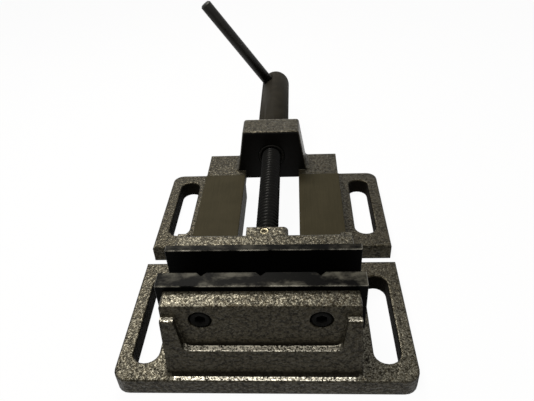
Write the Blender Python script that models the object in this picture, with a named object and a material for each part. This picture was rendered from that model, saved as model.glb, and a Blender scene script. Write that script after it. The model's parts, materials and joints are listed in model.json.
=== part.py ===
# Drill press vise with 100 mm jaws, modelled as it comes apart on a bench.
#
# Frame: metres. X = 0 is the plane of symmetry, Y = 0 is the gripping face of the
# fixed jaw plate with +Y towards the handle, and Z = 0 is the underside of the base.

import math

import bmesh
import bpy
from mathutils import Matrix, Vector

# Fits
GAP = 0.0003                    # between faces that touch on the real vise
SLIDE_GAP = 0.0003              # between a sliding face and its way

# Base casting: ears and bolt slots
BASE_WIDTH = 0.157
BASE_LENGTH = 0.1845
FRONT_REACH = 0.0267            # base ahead of the fixed gripping face
EAR_THICKNESS = 0.0112
EAR_EDGE_ROUND = 0.0010
EAR_CORNER_RADIUS = 0.0075
FRONT_EAR_LENGTH = 0.0853
EAR_GAP = 0.0147
SLOT_WIDTH = 0.0140
SLOT_LENGTH = 0.0623
SLOT_INSET = 0.0148             # outer edge of the ear to the slot's centre line
FRONT_SLOT_MARGIN = 0.0106      # end of the front ear to the slot
REAR_SLOT_MARGIN = 0.0097

# Base casting: rails and shoulder
RAIL_TOP = 0.02985
RAIL_WIDTH = 0.0283
RAIL_GAP = 0.0385               # clear width between the two rails
RAIL_END = 0.1300               # rails end, from the fixed gripping face
SHOULDER_DROP = 0.00055         # unmachined shoulder below the rails
REAR_SETBACK = 0.0005           # shoulder ahead of the ears' rear edge
WALL_DRAFT = 0.045              # sideways slope of the cast walls
FOOT_FILLET = 0.0022            # cove where a wall meets the ears
RAIL_ROOT_DEPTH = 0.0112        # underside of the rails' inner walls
SLAB_BOTTOM = 0.0229            # ceiling of the pockets and underside of the web
INNER_WALL = 0.0062
OUTER_WALL = 0.0070
POCKET_START = 0.0080
INNER_WALL_END = 0.1280
REAR_WALL = 0.0095
REAR_OPENING_WIDTH = 0.0480
CHANNEL_START = 0.0035

# Base casting: fixed jaw
JAW_CASTING_TOP = 0.0581
JAW_BLOCK_TOP_WIDTH = 0.0944
JAW_BLOCK_DEPTH = 0.00935       # upper wall, front face to plate seat
JAW_APRON_PROUD = 0.0029        # lower apron ahead of the upper wall
APRON_TOP = 0.0507
APRON_FOOT_FLARE = 0.0012       # the apron leans out towards its foot
RECESS_FLOOR = 0.0297           # ledge under the two screws
RECESS_TOP_WIDTH = 0.0828
RECESS_FLOOR_WIDTH = 0.0784
RECESS_CORNER_RADIUS = 0.0042
APRON_POCKET_WALL = 0.0070
APRON_POCKET_DEPTH = 0.0200
APRON_POCKET_LENGTH = 0.0760
APRON_POCKET_BACK = 0.0070      # rib between the apron pocket and the gripping face

# Base casting: lug for the screw
LUG_TOP = 0.0607
LUG_TOP_WIDTH = 0.0394
LUG_FOOT_WIDTH = 0.0496
LUG_DEPTH = 0.0207
LUG_TOP_SETBACK = 0.0005        # front face leans back by this much
LUG_REAR_LEAN = 0.0006
LUG_EDGE_ROUND = 0.0015
LUG_FOOT_FILLET = 0.0030
HUB_RECESS_DIAMETER = 0.0245    # in the lug's rear face, where the hub runs in
HUB_RECESS_DEPTH = 0.0047

# Jaw plates
PLATE_LENGTH = 0.1016
FIXED_PLATE_TOP = 0.0611
FIXED_PLATE_THICKNESS = 0.00955
MOVING_PLATE_TOP = 0.06085
MOVING_PLATE_THICKNESS = 0.0046
MOVING_PLATE_LIFT = 0.0006      # moving plate clear of the rails
PLATE_EDGE_CHAMFER = 0.0004
VEE_WIDTH = 0.0056
VEE_SPACING = 0.0290
VEE_HEIGHT = 0.0440             # centre of the lengthwise vee above the base

# Socket head screws that hold the jaw plates
PLATE_SCREW_SPACING = 0.0576
PLATE_SCREW_HEIGHT = 0.0483
SCREW_DIAMETER = 0.0060
SCREW_HEAD_DIAMETER = 0.0100
SCREW_HEAD_HEIGHT = 0.0060
SCREW_SOCKET = 0.0050
SCREW_SOCKET_DEPTH = 0.0030
SCREW_CHAMFER = 0.0005
COUNTERBORE_DIAMETER = 0.0115
COUNTERBORE_DEPTH = 0.0064
SCREW_BITE = 0.0048             # thread length inside the fixed plate
MOVING_SCREW_BITE = 0.0031

# Moving jaw
OPENING_AT_REST = 0.01576
JAW_WALL_TOP_DEPTH = 0.01024    # plate seat to the rear of the top face
JAW_WALL_FOOT_DEPTH = 0.0160
JAW_WIDTH = 0.0944
JAW_FOOT_REACH = 0.03264        # plate seat to the rear of the foot
JAW_FOOT_HEIGHT = 0.0080
GUSSET_WIDTH = 0.0062
GUSSET_TOP_DEPTH = 0.01324
JAW_EDGE_ROUND = 0.0012
JAW_SCREW_SEAT = 0.0064         # plate seat to the counterbore floor
BOSS_LEFT = 0.0098
BOSS_RIGHT = 0.0129
BOSS_SHOULDER = 0.0027
BOSS_REACH = 0.01704            # plate seat to the rear face of the boss
BOSS_SPOTFACE = 0.0003          # machined ring where the screw's shoulder bears
TROUGH_CLEARANCE = 0.0012       # round the lead screw where it passes over the foot
TONGUE_START = 0.0004
TONGUE_LENGTH = 0.0300
TONGUE_CHAMFER = 0.0010

# Keeper plate under the rails
KEEPER_THICKNESS = 0.0050
KEEPER_WIDTH = 0.0500
KEEPER_LENGTH = 0.0260
KEEPER_SETBACK = 0.0024
KEEPER_SCREW_SPACING = 0.0140
KEEPER_SCREW_LENGTH = 0.0160
KEEPER_HEAD_DIAMETER = 0.0115
KEEPER_SOCKET = 0.0040
KEEPER_SOCKET_DEPTH = 0.0029
KEEPER_POINT_DIAMETER = 0.0048
KEEPER_POINT_LENGTH = 0.0006
KEEPER_CORNER_RADIUS = 0.0030

# Lead screw, bush and hub
AXIS_HEIGHT = 0.0414
LEAD_DIAMETER = 0.0134
LEAD_ROOT_DIAMETER = 0.0106
LEAD_PITCH = 0.0030
LEAD_COLLAR = 0.0020            # least plain length at each end of the thread
LEAD_CHAMFER = 0.0010
NOSE_DIAMETER = 0.0100
NOSE_GROOVE_DIAMETER = 0.0070
NOSE_GROOVE_WIDTH = 0.0038
NOSE_BORE_FLOOR = 0.0030        # casting left between the nose bore and the plate
SHOULDER_CLEARANCE = 0.0005     # lead screw shoulder behind the boss
BUTTON_THICKNESS = 0.0030
BUTTON_DIAMETER = 0.0096
SHANK_DIAMETER = 0.0120
SHANK_LENGTH = 0.0535
BUSH_DIAMETER = 0.0180
BUSH_PROUD = 0.0006
BUSH_REAR_SINK = 0.0003
THREAD_CLEARANCE = 0.0003
HUB_STANDOFF = 0.0115           # lug's rear face to the hub, with the jaws as in the photo
HUB_DIAMETER = 0.0235
HUB_LENGTH = 0.0882             # straight length, ahead of the domed end
HUB_CHAMFER = 0.0010
HUB_PIN_DIAMETER = 0.0050
HUB_PIN_SETBACK = 0.0212
HUB_PIN_SHORT = 0.0008

# Handle
HANDLE_SETBACK = 0.0104         # handle ahead of the dome's centre
HANDLE_DIAMETER = 0.0090
HANDLE_LENGTH = 0.0936          # from the screw's axis to the tip
HANDLE_CHAMFER = 0.0012
HANDLE_ANGLE = math.radians(125.2)    # about +Y, from +X up towards +Z
HANDLE_SPIGOT_DIAMETER = 0.0080
HANDLE_SPIGOT_LENGTH = 0.0075
HANDLE_SEAT = 0.0106            # milled flat on the hub, from the axis

# Set screws
SET_SCREW_DIAMETER = 0.0050
SET_SCREW_SETBACK = 0.0032      # ahead of the boss's rear face
SET_SCREW_SINK = 0.0003
SET_SCREW_SOCKET = 0.0025
SET_SCREW_SOCKET_DEPTH = 0.0030
SET_SCREW_CHAMFER = 0.0003
SET_SCREW_POINT_DIAMETER = 0.0032
SET_SCREW_POINT_LENGTH = 0.0022
BUSH_GRUB_LENGTH = 0.0080
BUSH_GRUB_POINT_DIAMETER = 0.0035
BUSH_GRUB_POINT_LENGTH = 0.0008

# Facets
ROUND_SEGMENTS = 48
SMALL_SEGMENTS = 28
THREAD_SEGMENTS = 20
ARC_STEPS = 5
DOME_STEPS = 8
SHARP_ANGLE = math.radians(20)  # edges flatter than this are never rounded
CROSSWAYS = 0.9                 # share of an edge's direction that makes it run along an axis

# Worked out from the sizes above
BASE_FRONT = -FRONT_REACH
BASE_REAR = BASE_FRONT + BASE_LENGTH
SHOULDER_REAR = BASE_REAR - REAR_SETBACK
REAR_EAR_START = BASE_FRONT + FRONT_EAR_LENGTH + EAR_GAP
LUG_FRONT = SHOULDER_REAR - LUG_DEPTH
RECESS_END = SHOULDER_REAR - HUB_RECESS_DEPTH
SLOT_X = BASE_WIDTH / 2 - SLOT_INSET
FRONT_SLOT_Y = BASE_FRONT + FRONT_SLOT_MARGIN + SLOT_LENGTH / 2
REAR_SLOT_Y = BASE_REAR - REAR_SLOT_MARGIN - SLOT_LENGTH / 2
CHANNEL_HALF = RAIL_GAP / 2
RAIL_OUTER = CHANNEL_HALF + RAIL_WIDTH
FIXED_SEAT = -FIXED_PLATE_THICKNESS - GAP
BLOCK_FRONT = FIXED_SEAT - JAW_BLOCK_DEPTH
APRON_FRONT = BLOCK_FRONT - JAW_APRON_PROUD
PLATE_BOTTOM = RAIL_TOP + GAP
MOVING_SEAT = OPENING_AT_REST + MOVING_PLATE_THICKNESS + GAP
JAW_BOTTOM = RAIL_TOP + SLIDE_GAP
BOSS_REAR = MOVING_SEAT + BOSS_REACH
TONGUE_FRONT = MOVING_SEAT + TONGUE_START
KEEPER_TOP = RAIL_ROOT_DEPTH - SLIDE_GAP
KEEPER_FRONT = TONGUE_FRONT + KEEPER_SETBACK
KEEPER_MIDDLE = KEEPER_FRONT + KEEPER_LENGTH / 2
NOSE_BORE_END = MOVING_SEAT + NOSE_BORE_FLOOR
NOSE_TIP = NOSE_BORE_END + BUTTON_THICKNESS + 2 * GAP
SET_SCREW_Y = BOSS_REAR - SET_SCREW_SETBACK
LEAD_START = BOSS_REAR + SHOULDER_CLEARANCE
HUB_FRONT = SHOULDER_REAR + HUB_STANDOFF
DOME_CENTRE = HUB_FRONT + HUB_LENGTH
HANDLE_Y = DOME_CENTRE - HANDLE_SETBACK
AXIS = Vector((0.0, 0.0, AXIS_HEIGHT))

# Finishes: colour, metallic, roughness
FINISHES = {
    "hammer_paint": ((0.085, 0.08, 0.07), 0.3, 0.45),
    "black_oxide": ((0.035, 0.035, 0.038), 0.8, 0.4),
    "screw_black": ((0.02, 0.02, 0.022), 0.8, 0.35),
    "bush_steel": ((0.06, 0.06, 0.06), 0.8, 0.4),
    "bright_steel": ((0.6, 0.57, 0.5), 1.0, 0.3),
    "keeper_steel": ((0.14, 0.135, 0.125), 0.9, 0.45),
}


def clear_scene():
    for thing in list(bpy.data.objects):
        bpy.data.objects.remove(thing, do_unlink=True)


def finish(name):
    material = bpy.data.materials.get(name)
    if material:
        return material
    colour, metallic, roughness = FINISHES[name]
    material = bpy.data.materials.new(name)
    material.use_nodes = True
    shader = material.node_tree.nodes["Principled BSDF"]
    shader.inputs["Base Color"].default_value = (*colour, 1.0)
    shader.inputs["Metallic"].default_value = metallic
    shader.inputs["Roughness"].default_value = roughness
    return material


def make_object(name, mesh_data):
    """Turn a bmesh into an object with all its faces pointing out."""
    bmesh.ops.recalc_face_normals(mesh_data, faces=mesh_data.faces)
    mesh = bpy.data.meshes.new(name)
    mesh_data.to_mesh(mesh)
    mesh_data.free()
    thing = bpy.data.objects.new(name, mesh)
    bpy.context.scene.collection.objects.link(thing)
    return thing


def loft(name, sections):
    """Skin rings of points, all of one count, and cap the first and the last."""
    data = bmesh.new()
    rings = [[data.verts.new(point) for point in ring] for ring in sections]
    count = len(rings[0])
    for lower, upper in zip(rings, rings[1:]):
        for i in range(count):
            j = (i + 1) % count
            data.faces.new((lower[i], lower[j], upper[j], upper[i]))
    data.faces.new(rings[0])
    data.faces.new(rings[-1])
    return make_object(name, data)


def prism(name, outline, along, start, end):
    """Extrude a flat outline along X, Y or Z. The outline's pair is the other two axes."""
    place = {
        "X": lambda a, b, t: (t, a, b),
        "Y": lambda a, b, t: (a, t, b),
        "Z": lambda a, b, t: (a, b, t),
    }[along]
    return loft(name, [[place(a, b, t) for a, b in outline] for t in (start, end)])


def box(name, low, high):
    outline = [(low[0], low[1]), (high[0], low[1]), (high[0], high[1]), (low[0], high[1])]
    return prism(name, outline, "Z", low[2], high[2])


def turned(name, profile, segments=ROUND_SEGMENTS):
    """Spin (distance along Z, radius) pairs about the Z axis into a closed solid."""
    data = bmesh.new()
    verts = [data.verts.new((radius, 0.0, along)) for along, radius in profile]
    edges = [data.edges.new(pair) for pair in zip(verts, verts[1:])]
    bmesh.ops.spin(data, geom=verts + edges, cent=(0, 0, 0), axis=(0, 0, 1),
                   angle=2 * math.pi, steps=segments, use_merge=True)
    bmesh.ops.remove_doubles(data, verts=data.verts, dist=1e-6)
    return make_object(name, data)


def lie_along(thing, direction, origin):
    """Turn a solid made along +Z to a direction, and move its zero to a point."""
    turn = Vector((0, 0, 1)).rotation_difference(Vector(direction)).to_matrix().to_4x4()
    thing.data.transform(Matrix.Translation(origin) @ turn)
    thing.data.update()
    return thing


def rod(name, diameter, start, end, direction, origin, segments=SMALL_SEGMENTS):
    """A plain cylinder along a direction, from start to end past the origin."""
    profile = [(start, 0.0), (start, diameter / 2), (end, diameter / 2), (end, 0.0)]
    return lie_along(turned(name, profile, segments), direction, origin)


def combine(thing, others, operation, solver="EXACT"):
    """Join or cut solids for good, and drop the tools used."""
    for other in others:
        step = thing.modifiers.new("step", "BOOLEAN")
        step.operation = operation
        step.solver = solver
        step.object = other
        graph = bpy.context.evaluated_depsgraph_get()
        result = bpy.data.meshes.new_from_object(thing.evaluated_get(graph))
        thing.modifiers.clear()
        thing.data = result
        bpy.data.objects.remove(other, do_unlink=True)
    return thing


def join(thing, others):
    return combine(thing, others, "UNION")


def cut(thing, tools, solver="EXACT"):
    return combine(thing, tools, "DIFFERENCE", solver)


def round_edges(thing, choose, width, segments=2):
    """Bevel the edges that choose(middle, direction) picks."""
    data = bmesh.new()
    data.from_mesh(thing.data)
    edges = []
    for edge in data.edges:
        first, second = (vert.co for vert in edge.verts)
        if edge.calc_face_angle(0.0) > SHARP_ANGLE:
            if choose((first + second) / 2, (second - first).normalized()):
                edges.append(edge)
    bmesh.ops.bevel(data, geom=edges, offset=width, segments=segments, profile=0.5,
                    affect="EDGES", clamp_overlap=True)
    data.to_mesh(thing.data)
    data.free()
    return thing


def dress(thing, finish_name, smooth_angle=32):
    """Give a finished solid its material and its smooth shading."""
    thing.data.materials.clear()
    thing.data.materials.append(finish(finish_name))
    thing.data.shade_smooth()
    thing.data.set_sharp_from_angle(angle=math.radians(smooth_angle))
    return thing


def arc(centre, radius, start, end, steps=ARC_STEPS):
    angles = [start + (end - start) * i / steps for i in range(steps + 1)]
    return [(centre[0] + radius * math.cos(a), centre[1] + radius * math.sin(a))
            for a in angles]


def rounded_rectangle(low, high, radii, steps=ARC_STEPS):
    """Corner radii in order: low-low, high-low, high-high, low-high. Zero is sharp."""
    corners = [(low[0], low[1]), (high[0], low[1]), (high[0], high[1]), (low[0], high[1])]
    inward = [(1, 1), (-1, 1), (-1, -1), (1, -1)]
    points = []
    for k, (corner, (sx, sy), radius) in enumerate(zip(corners, inward, radii)):
        if radius <= 0:
            points.append(corner)
            continue
        centre = (corner[0] + sx * radius, corner[1] + sy * radius)
        first = math.pi + k * math.pi / 2
        points += arc(centre, radius, first, first + math.pi / 2, steps)
    return points


def slot_outline(centre, length, width, grow=0.0):
    radius = width / 2 + grow
    straight = length / 2 - width / 2
    top = arc((centre[0], centre[1] + straight), radius, 0.0, math.pi, 2 * ARC_STEPS)
    bottom = arc((centre[0], centre[1] - straight), radius, math.pi, 2 * math.pi,
                 2 * ARC_STEPS)
    return top + bottom


def at_height(outline, height):
    return [(x, y, height) for x, y in outline]


def edge_rounding(radius, steps=2):
    """(inset, drop from the top face) pairs of a rounded top edge, lowest first."""
    pairs = []
    for i in range(steps + 1):
        angle = math.pi / 2 * i / steps
        pairs.append((radius * (1 - math.cos(angle)), radius * (1 - math.sin(angle))))
    return pairs


def cove(radius, steps=4):
    """(growth outwards, height above the floor) pairs of a foot fillet, lowest first."""
    pairs = []
    for i in range(steps + 1):
        angle = math.pi / 2 * i / steps
        pairs.append((radius * (1 - math.sin(angle)), radius * (1 - math.cos(angle))))
    return pairs


# Base casting

def ear_plate(name, start, end, rounded_front):
    """One flat plate through both ears, its top edge rounded and two corners round."""
    half = BASE_WIDTH / 2
    sections = []
    for inset, drop in [(0.0, EAR_THICKNESS)] + edge_rounding(EAR_EDGE_ROUND):
        radius = EAR_CORNER_RADIUS - inset
        radii = (radius, radius, 0, 0) if rounded_front else (0, 0, radius, radius)
        outline = rounded_rectangle((-half + inset, start + inset),
                                    (half - inset, end - inset), radii)
        sections.append(at_height(outline, EAR_THICKNESS - drop))
    return loft(name, sections)


def bolt_slot(side, middle):
    """Cutter for one slot, flared where the ear's top edge is rounded."""
    sections = [at_height(slot_outline((side * SLOT_X, middle), SLOT_LENGTH, SLOT_WIDTH),
                          -EAR_THICKNESS)]
    for inset, drop in edge_rounding(EAR_EDGE_ROUND):
        outline = slot_outline((side * SLOT_X, middle), SLOT_LENGTH, SLOT_WIDTH, inset)
        sections.append(at_height(outline, EAR_THICKNESS - drop))
    outline = slot_outline((side * SLOT_X, middle), SLOT_LENGTH, SLOT_WIDTH, EAR_EDGE_ROUND)
    sections.append(at_height(outline, 2 * EAR_THICKNESS))
    return loft("slot_cutter", sections)


def wall_sections(half_top, top, front, rear, front_lean=0.0):
    """Plan outlines of a drafted wall that flares into the ears in a cove."""
    def half_at(height):
        return half_top + (top - height) * WALL_DRAFT

    levels = [(0.0, 0.0), (0.0, EAR_THICKNESS - FOOT_FILLET)]
    levels += [(grow, EAR_THICKNESS + up) for grow, up in cove(FOOT_FILLET)]
    levels.append((0.0, top))
    sections = []
    for grow, height in levels:
        half = half_at(max(height, EAR_THICKNESS)) + grow
        lean = front_lean * (top - height) / (top - EAR_THICKNESS) if height > EAR_THICKNESS \
            else front_lean
        ahead = front - lean - grow
        outline = [(-half, ahead), (half, ahead), (half, rear), (-half, rear)]
        sections.append(at_height(outline, height))
    return sections


def base_blank():
    ears = ear_plate("base_casting", BASE_FRONT, BASE_FRONT + FRONT_EAR_LENGTH, True)
    rear_ears = ear_plate("rear_ears", REAR_EAR_START, BASE_REAR, False)
    rails = loft("rails", wall_sections(RAIL_OUTER, RAIL_TOP, BLOCK_FRONT + GAP, RAIL_END))
    shoulder = loft("shoulder", wall_sections(RAIL_OUTER - GAP, RAIL_TOP - SHOULDER_DROP,
                                              RAIL_END - FOOT_FILLET, SHOULDER_REAR))
    return join(ears, [rear_ears, rails, shoulder])


def fixed_jaw_block():
    half = JAW_BLOCK_TOP_WIDTH / 2
    wall = loft("jaw_wall", [
        at_height([(-h, BLOCK_FRONT), (h, BLOCK_FRONT), (h, FIXED_SEAT), (-h, FIXED_SEAT)], z)
        for z, h in ((EAR_THICKNESS / 2, half + (JAW_CASTING_TOP - EAR_THICKNESS) * WALL_DRAFT),
                     (JAW_CASTING_TOP, half))])
    round_edges(wall, lambda middle, way: middle.z > JAW_CASTING_TOP - GAP
                and (middle.y < BLOCK_FRONT + GAP or abs(way.y) > CROSSWAYS), EAR_EDGE_ROUND)
    half_at_apron = half + (JAW_CASTING_TOP - APRON_TOP) * WALL_DRAFT
    apron = loft("apron", wall_sections(half_at_apron, APRON_TOP, APRON_FRONT, FIXED_SEAT,
                                        APRON_FOOT_FLARE))
    round_edges(apron, lambda middle, way: middle.z > APRON_TOP - GAP
                and middle.y < APRON_FRONT + GAP, EAR_EDGE_ROUND)
    return wall, cut(apron, [apron_recess()])


def apron_recess():
    """The apron's open-topped recess round the screws: sloping sides, round corners."""
    top_half = RECESS_TOP_WIDTH / 2
    floor_half = RECESS_FLOOR_WIDTH / 2
    radius = RECESS_CORNER_RADIUS
    slope = math.atan2(top_half - floor_half, APRON_TOP - RECESS_FLOOR)
    right = arc((floor_half - radius, RECESS_FLOOR + radius), radius,
                -math.pi / 2, -slope)
    outline = right + [(top_half, APRON_TOP + radius)]
    outline += [(-x, z) for x, z in reversed(outline)]
    return prism("recess_cutter", outline, "Y", APRON_FRONT - 5 * JAW_APRON_PROUD, BLOCK_FRONT)


def lug():
    """Drafted block that carries the screw's bush, with coved foot and rounded edges."""
    shoulder_top = RAIL_TOP - SHOULDER_DROP
    levels = [(0.0, SLAB_BOTTOM + GAP, 0.0), (LUG_FOOT_FILLET, shoulder_top - GAP, 0.0)]
    levels += [(grow, shoulder_top + up, 0.0) for grow, up in cove(LUG_FOOT_FILLET)]
    levels += [(0.0, LUG_TOP - drop, inset) for inset, drop in edge_rounding(LUG_EDGE_ROUND)]
    sections = []
    for grow, height, inset in levels:
        share = max(0.0, (height - shoulder_top) / (LUG_TOP - shoulder_top))
        half = LUG_FOOT_WIDTH / 2 + (LUG_TOP_WIDTH - LUG_FOOT_WIDTH) / 2 * share + grow - inset
        front = LUG_FRONT + LUG_TOP_SETBACK * share + inset
        rear = SHOULDER_REAR - LUG_REAR_LEAN * share - inset
        radius = max(LUG_EDGE_ROUND - inset / 2, GAP)
        outline = rounded_rectangle((-half, front), (half, rear), [radius] * 4, 3)
        sections.append(at_height(outline, height))
    return loft("lug", sections)


def underside_cutters():
    """Channel between the rails, keeper way, cast pockets and the rear tunnel."""
    below = -EAR_THICKNESS
    pocket_half = RAIL_OUTER - OUTER_WALL
    inner_face = CHANNEL_HALF + INNER_WALL
    rear_wall_start = SHOULDER_REAR - REAR_WALL
    tools = [
        box("channel", (-CHANNEL_HALF, CHANNEL_START, below),
            (CHANNEL_HALF, LUG_FRONT, RAIL_TOP + EAR_THICKNESS)),
        box("keeper_way", (-pocket_half, POCKET_START, below),
            (pocket_half, rear_wall_start, RAIL_ROOT_DEPTH)),
        box("keeper_way_front", (-inner_face, CHANNEL_START, below),
            (inner_face, POCKET_START + GAP, RAIL_ROOT_DEPTH)),
        box("tunnel", (-inner_face - GAP, INNER_WALL_END, below),
            (inner_face + GAP, rear_wall_start, SLAB_BOTTOM)),
        box("rear_opening", (-REAR_OPENING_WIDTH / 2, rear_wall_start - GAP, below),
            (REAR_OPENING_WIDTH / 2, BASE_REAR + EAR_THICKNESS, SLAB_BOTTOM)),
        box("apron_pocket", (-APRON_POCKET_LENGTH / 2, APRON_FRONT + APRON_POCKET_WALL, below),
            (APRON_POCKET_LENGTH / 2, -APRON_POCKET_BACK, APRON_POCKET_DEPTH)),
    ]
    for side in (-1, 1):
        edges = sorted((side * inner_face, side * pocket_half))
        tools.append(box("pocket", (edges[0], POCKET_START, below),
                         (edges[1], rear_wall_start, SLAB_BOTTOM)))
    return tools


def ear_gap_cutters():
    """Trim the wall's foot flat where it shows between the front and rear ears."""
    inner = RAIL_OUTER + (RAIL_TOP - EAR_THICKNESS) * WALL_DRAFT
    start = REAR_EAR_START - EAR_GAP
    tools = []
    for side in (-1, 1):
        edges = sorted((side * inner, side * BASE_WIDTH))
        tools.append(box("ear_gap", (edges[0], start, -EAR_THICKNESS),
                         (edges[1], REAR_EAR_START, EAR_THICKNESS + FOOT_FILLET + GAP)))
    return tools


def plate_screw_places():
    return [side * PLATE_SCREW_SPACING / 2 for side in (-1, 1)]


def plate_screw_name(plate, x):
    return f"{plate}_jaw_screw_{'left' if x < 0 else 'right'}"


def make_base():
    casting = base_blank()
    wall, apron = fixed_jaw_block()
    join(casting, [apron, wall, lug()])
    cut(casting, underside_cutters() + ear_gap_cutters())
    tools = [bolt_slot(side, middle) for side in (-1, 1)
             for middle in (FRONT_SLOT_Y, REAR_SLOT_Y)]
    for x in plate_screw_places():
        origin = (x, BLOCK_FRONT, PLATE_SCREW_HEIGHT)
        tools.append(rod("clearance_hole", SCREW_DIAMETER + 2 * GAP, -GAP,
                         JAW_BLOCK_DEPTH + GAP, (0, 1, 0), origin))
        tools.append(rod("counterbore", COUNTERBORE_DIAMETER, -JAW_APRON_PROUD,
                         COUNTERBORE_DEPTH, (0, 1, 0), origin))
    tools.append(rod("bush_bore", BUSH_DIAMETER + 2 * GAP, LUG_FRONT - BUSH_PROUD - GAP,
                     BASE_REAR + GAP, (0, 1, 0), AXIS, ROUND_SEGMENTS))
    tools.append(rod("hub_recess", HUB_RECESS_DIAMETER, RECESS_END, BASE_REAR + GAP,
                     (0, 1, 0), AXIS, ROUND_SEGMENTS))
    tools.append(rod("grub_hole", SET_SCREW_DIAMETER + 2 * GAP, SLAB_BOTTOM - GAP,
                     AXIS_HEIGHT, (0, 0, 1), (0, bush_middle(), 0)))
    cut(casting, tools)
    return dress(casting, "hammer_paint")


def bush_middle():
    return (LUG_FRONT + RECESS_END) / 2


# Jaw plates and their screws

def vee_tool(centre, along, low, high, face):
    """Square-section vee, 90 degrees, sunk into a gripping face at Y = face."""
    half = VEE_WIDTH / 2
    if along == "Z":
        outline = [(centre - half - GAP, face + GAP), (centre, face - half),
                   (centre + half + GAP, face + GAP)]
        return prism("vee", outline, "Z", low, high)
    outline = [(face + GAP, centre - half - GAP), (face - half, centre),
               (face + GAP, centre + half + GAP)]
    return prism("vee", outline, "X", low, high)


def plate_blank(name, front, rear, bottom, top):
    half = PLATE_LENGTH / 2
    plate = box(name, (-half, front, bottom), (half, rear, top))
    return round_edges(plate, lambda middle, way: True, PLATE_EDGE_CHAMFER, 1)


def make_fixed_plate():
    plate = plate_blank("fixed_jaw_plate", -FIXED_PLATE_THICKNESS, 0.0, PLATE_BOTTOM,
                        FIXED_PLATE_TOP)
    half = PLATE_LENGTH / 2
    tools = [vee_tool(x, "Z", 0.0, 2 * FIXED_PLATE_TOP, 0.0)
             for x in (-VEE_SPACING, 0.0, VEE_SPACING)]
    tools.append(vee_tool(VEE_HEIGHT, "X", -2 * half, 2 * half, 0.0))
    for x in plate_screw_places():
        tools.append(rod("tapped_hole", SCREW_DIAMETER + 2 * GAP, -GAP, SCREW_BITE + GAP,
                         (0, 1, 0), (x, -FIXED_PLATE_THICKNESS, PLATE_SCREW_HEIGHT)))
    return dress(cut(plate, tools), "black_oxide")


def make_moving_plate():
    rear = OPENING_AT_REST + MOVING_PLATE_THICKNESS
    plate = plate_blank("moving_jaw_plate", OPENING_AT_REST, rear,
                        RAIL_TOP + MOVING_PLATE_LIFT, MOVING_PLATE_TOP)
    tools = [rod("tapped_hole", SCREW_DIAMETER + 2 * GAP, -GAP, MOVING_SCREW_BITE + GAP,
                 (0, -1, 0), (x, rear, PLATE_SCREW_HEIGHT)) for x in plate_screw_places()]
    return dress(cut(plate, tools), "black_oxide")


def hexagon(across_flats):
    radius = across_flats / math.sqrt(3)
    return [(radius * math.cos(k * math.pi / 3), radius * math.sin(k * math.pi / 3))
            for k in range(6)]


def socket_screw(name, length):
    """Socket head cap screw along +Z: zero at the head's seat, thread end at +length."""
    head = SCREW_HEAD_DIAMETER / 2
    body = SCREW_DIAMETER / 2
    profile = [(-SCREW_HEAD_HEIGHT, 0.0), (-SCREW_HEAD_HEIGHT, head - SCREW_CHAMFER),
               (SCREW_CHAMFER - SCREW_HEAD_HEIGHT, head), (0.0, head), (0.0, body),
               (length - SCREW_CHAMFER, body), (length, body - SCREW_CHAMFER), (length, 0.0)]
    screw = turned(name, profile, SMALL_SEGMENTS)
    socket = prism("socket", hexagon(SCREW_SOCKET), "Z", -2 * SCREW_HEAD_HEIGHT,
                   SCREW_SOCKET_DEPTH - SCREW_HEAD_HEIGHT)
    return cut(screw, [socket])


def make_plate_screws(plate, seat, direction, length):
    """The left and the right screw of one jaw plate."""
    screws = []
    for x in plate_screw_places():
        screw = socket_screw(plate_screw_name(plate, x), length)
        lie_along(screw, direction, (x, seat, PLATE_SCREW_HEIGHT))
        screws.append(dress(screw, "screw_black"))
    return screws


# Moving jaw

def jaw_profile():
    """Side view of the jaw: upright wall on a foot that reaches back along the rails."""
    foot_top = JAW_BOTTOM + JAW_FOOT_HEIGHT
    return [
        (MOVING_SEAT, JAW_BOTTOM),
        (MOVING_SEAT + JAW_FOOT_REACH, JAW_BOTTOM),
        (MOVING_SEAT + JAW_FOOT_REACH, foot_top),
        (MOVING_SEAT + JAW_WALL_FOOT_DEPTH, foot_top),
        (MOVING_SEAT + JAW_WALL_TOP_DEPTH, JAW_CASTING_TOP),
        (MOVING_SEAT, JAW_CASTING_TOP),
    ]


def gusset_profile():
    foot_top = JAW_BOTTOM + JAW_FOOT_HEIGHT
    return [
        (MOVING_SEAT + JAW_WALL_TOP_DEPTH / 2, JAW_BOTTOM + GAP),
        (MOVING_SEAT + JAW_FOOT_REACH - JAW_EDGE_ROUND, JAW_BOTTOM + GAP),
        (MOVING_SEAT + JAW_FOOT_REACH - JAW_EDGE_ROUND, foot_top),
        (MOVING_SEAT + GUSSET_TOP_DEPTH, JAW_CASTING_TOP - 2 * JAW_EDGE_ROUND),
        (MOVING_SEAT + GUSSET_TOP_DEPTH - JAW_EDGE_ROUND, JAW_CASTING_TOP - GAP),
        (MOVING_SEAT + JAW_WALL_TOP_DEPTH / 2, JAW_CASTING_TOP - GAP),
    ]


def boss_outline():
    """End view of the boss: flat top, its right-hand shoulder rounded off."""
    top = JAW_CASTING_TOP - GAP
    shoulder = arc((BOSS_RIGHT - BOSS_SHOULDER, top - BOSS_SHOULDER), BOSS_SHOULDER,
                   0.0, math.pi / 2)
    return [(-BOSS_LEFT, JAW_BOTTOM + GAP), (BOSS_RIGHT, JAW_BOTTOM + GAP)] + shoulder \
        + [(-BOSS_LEFT, top)]


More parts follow.
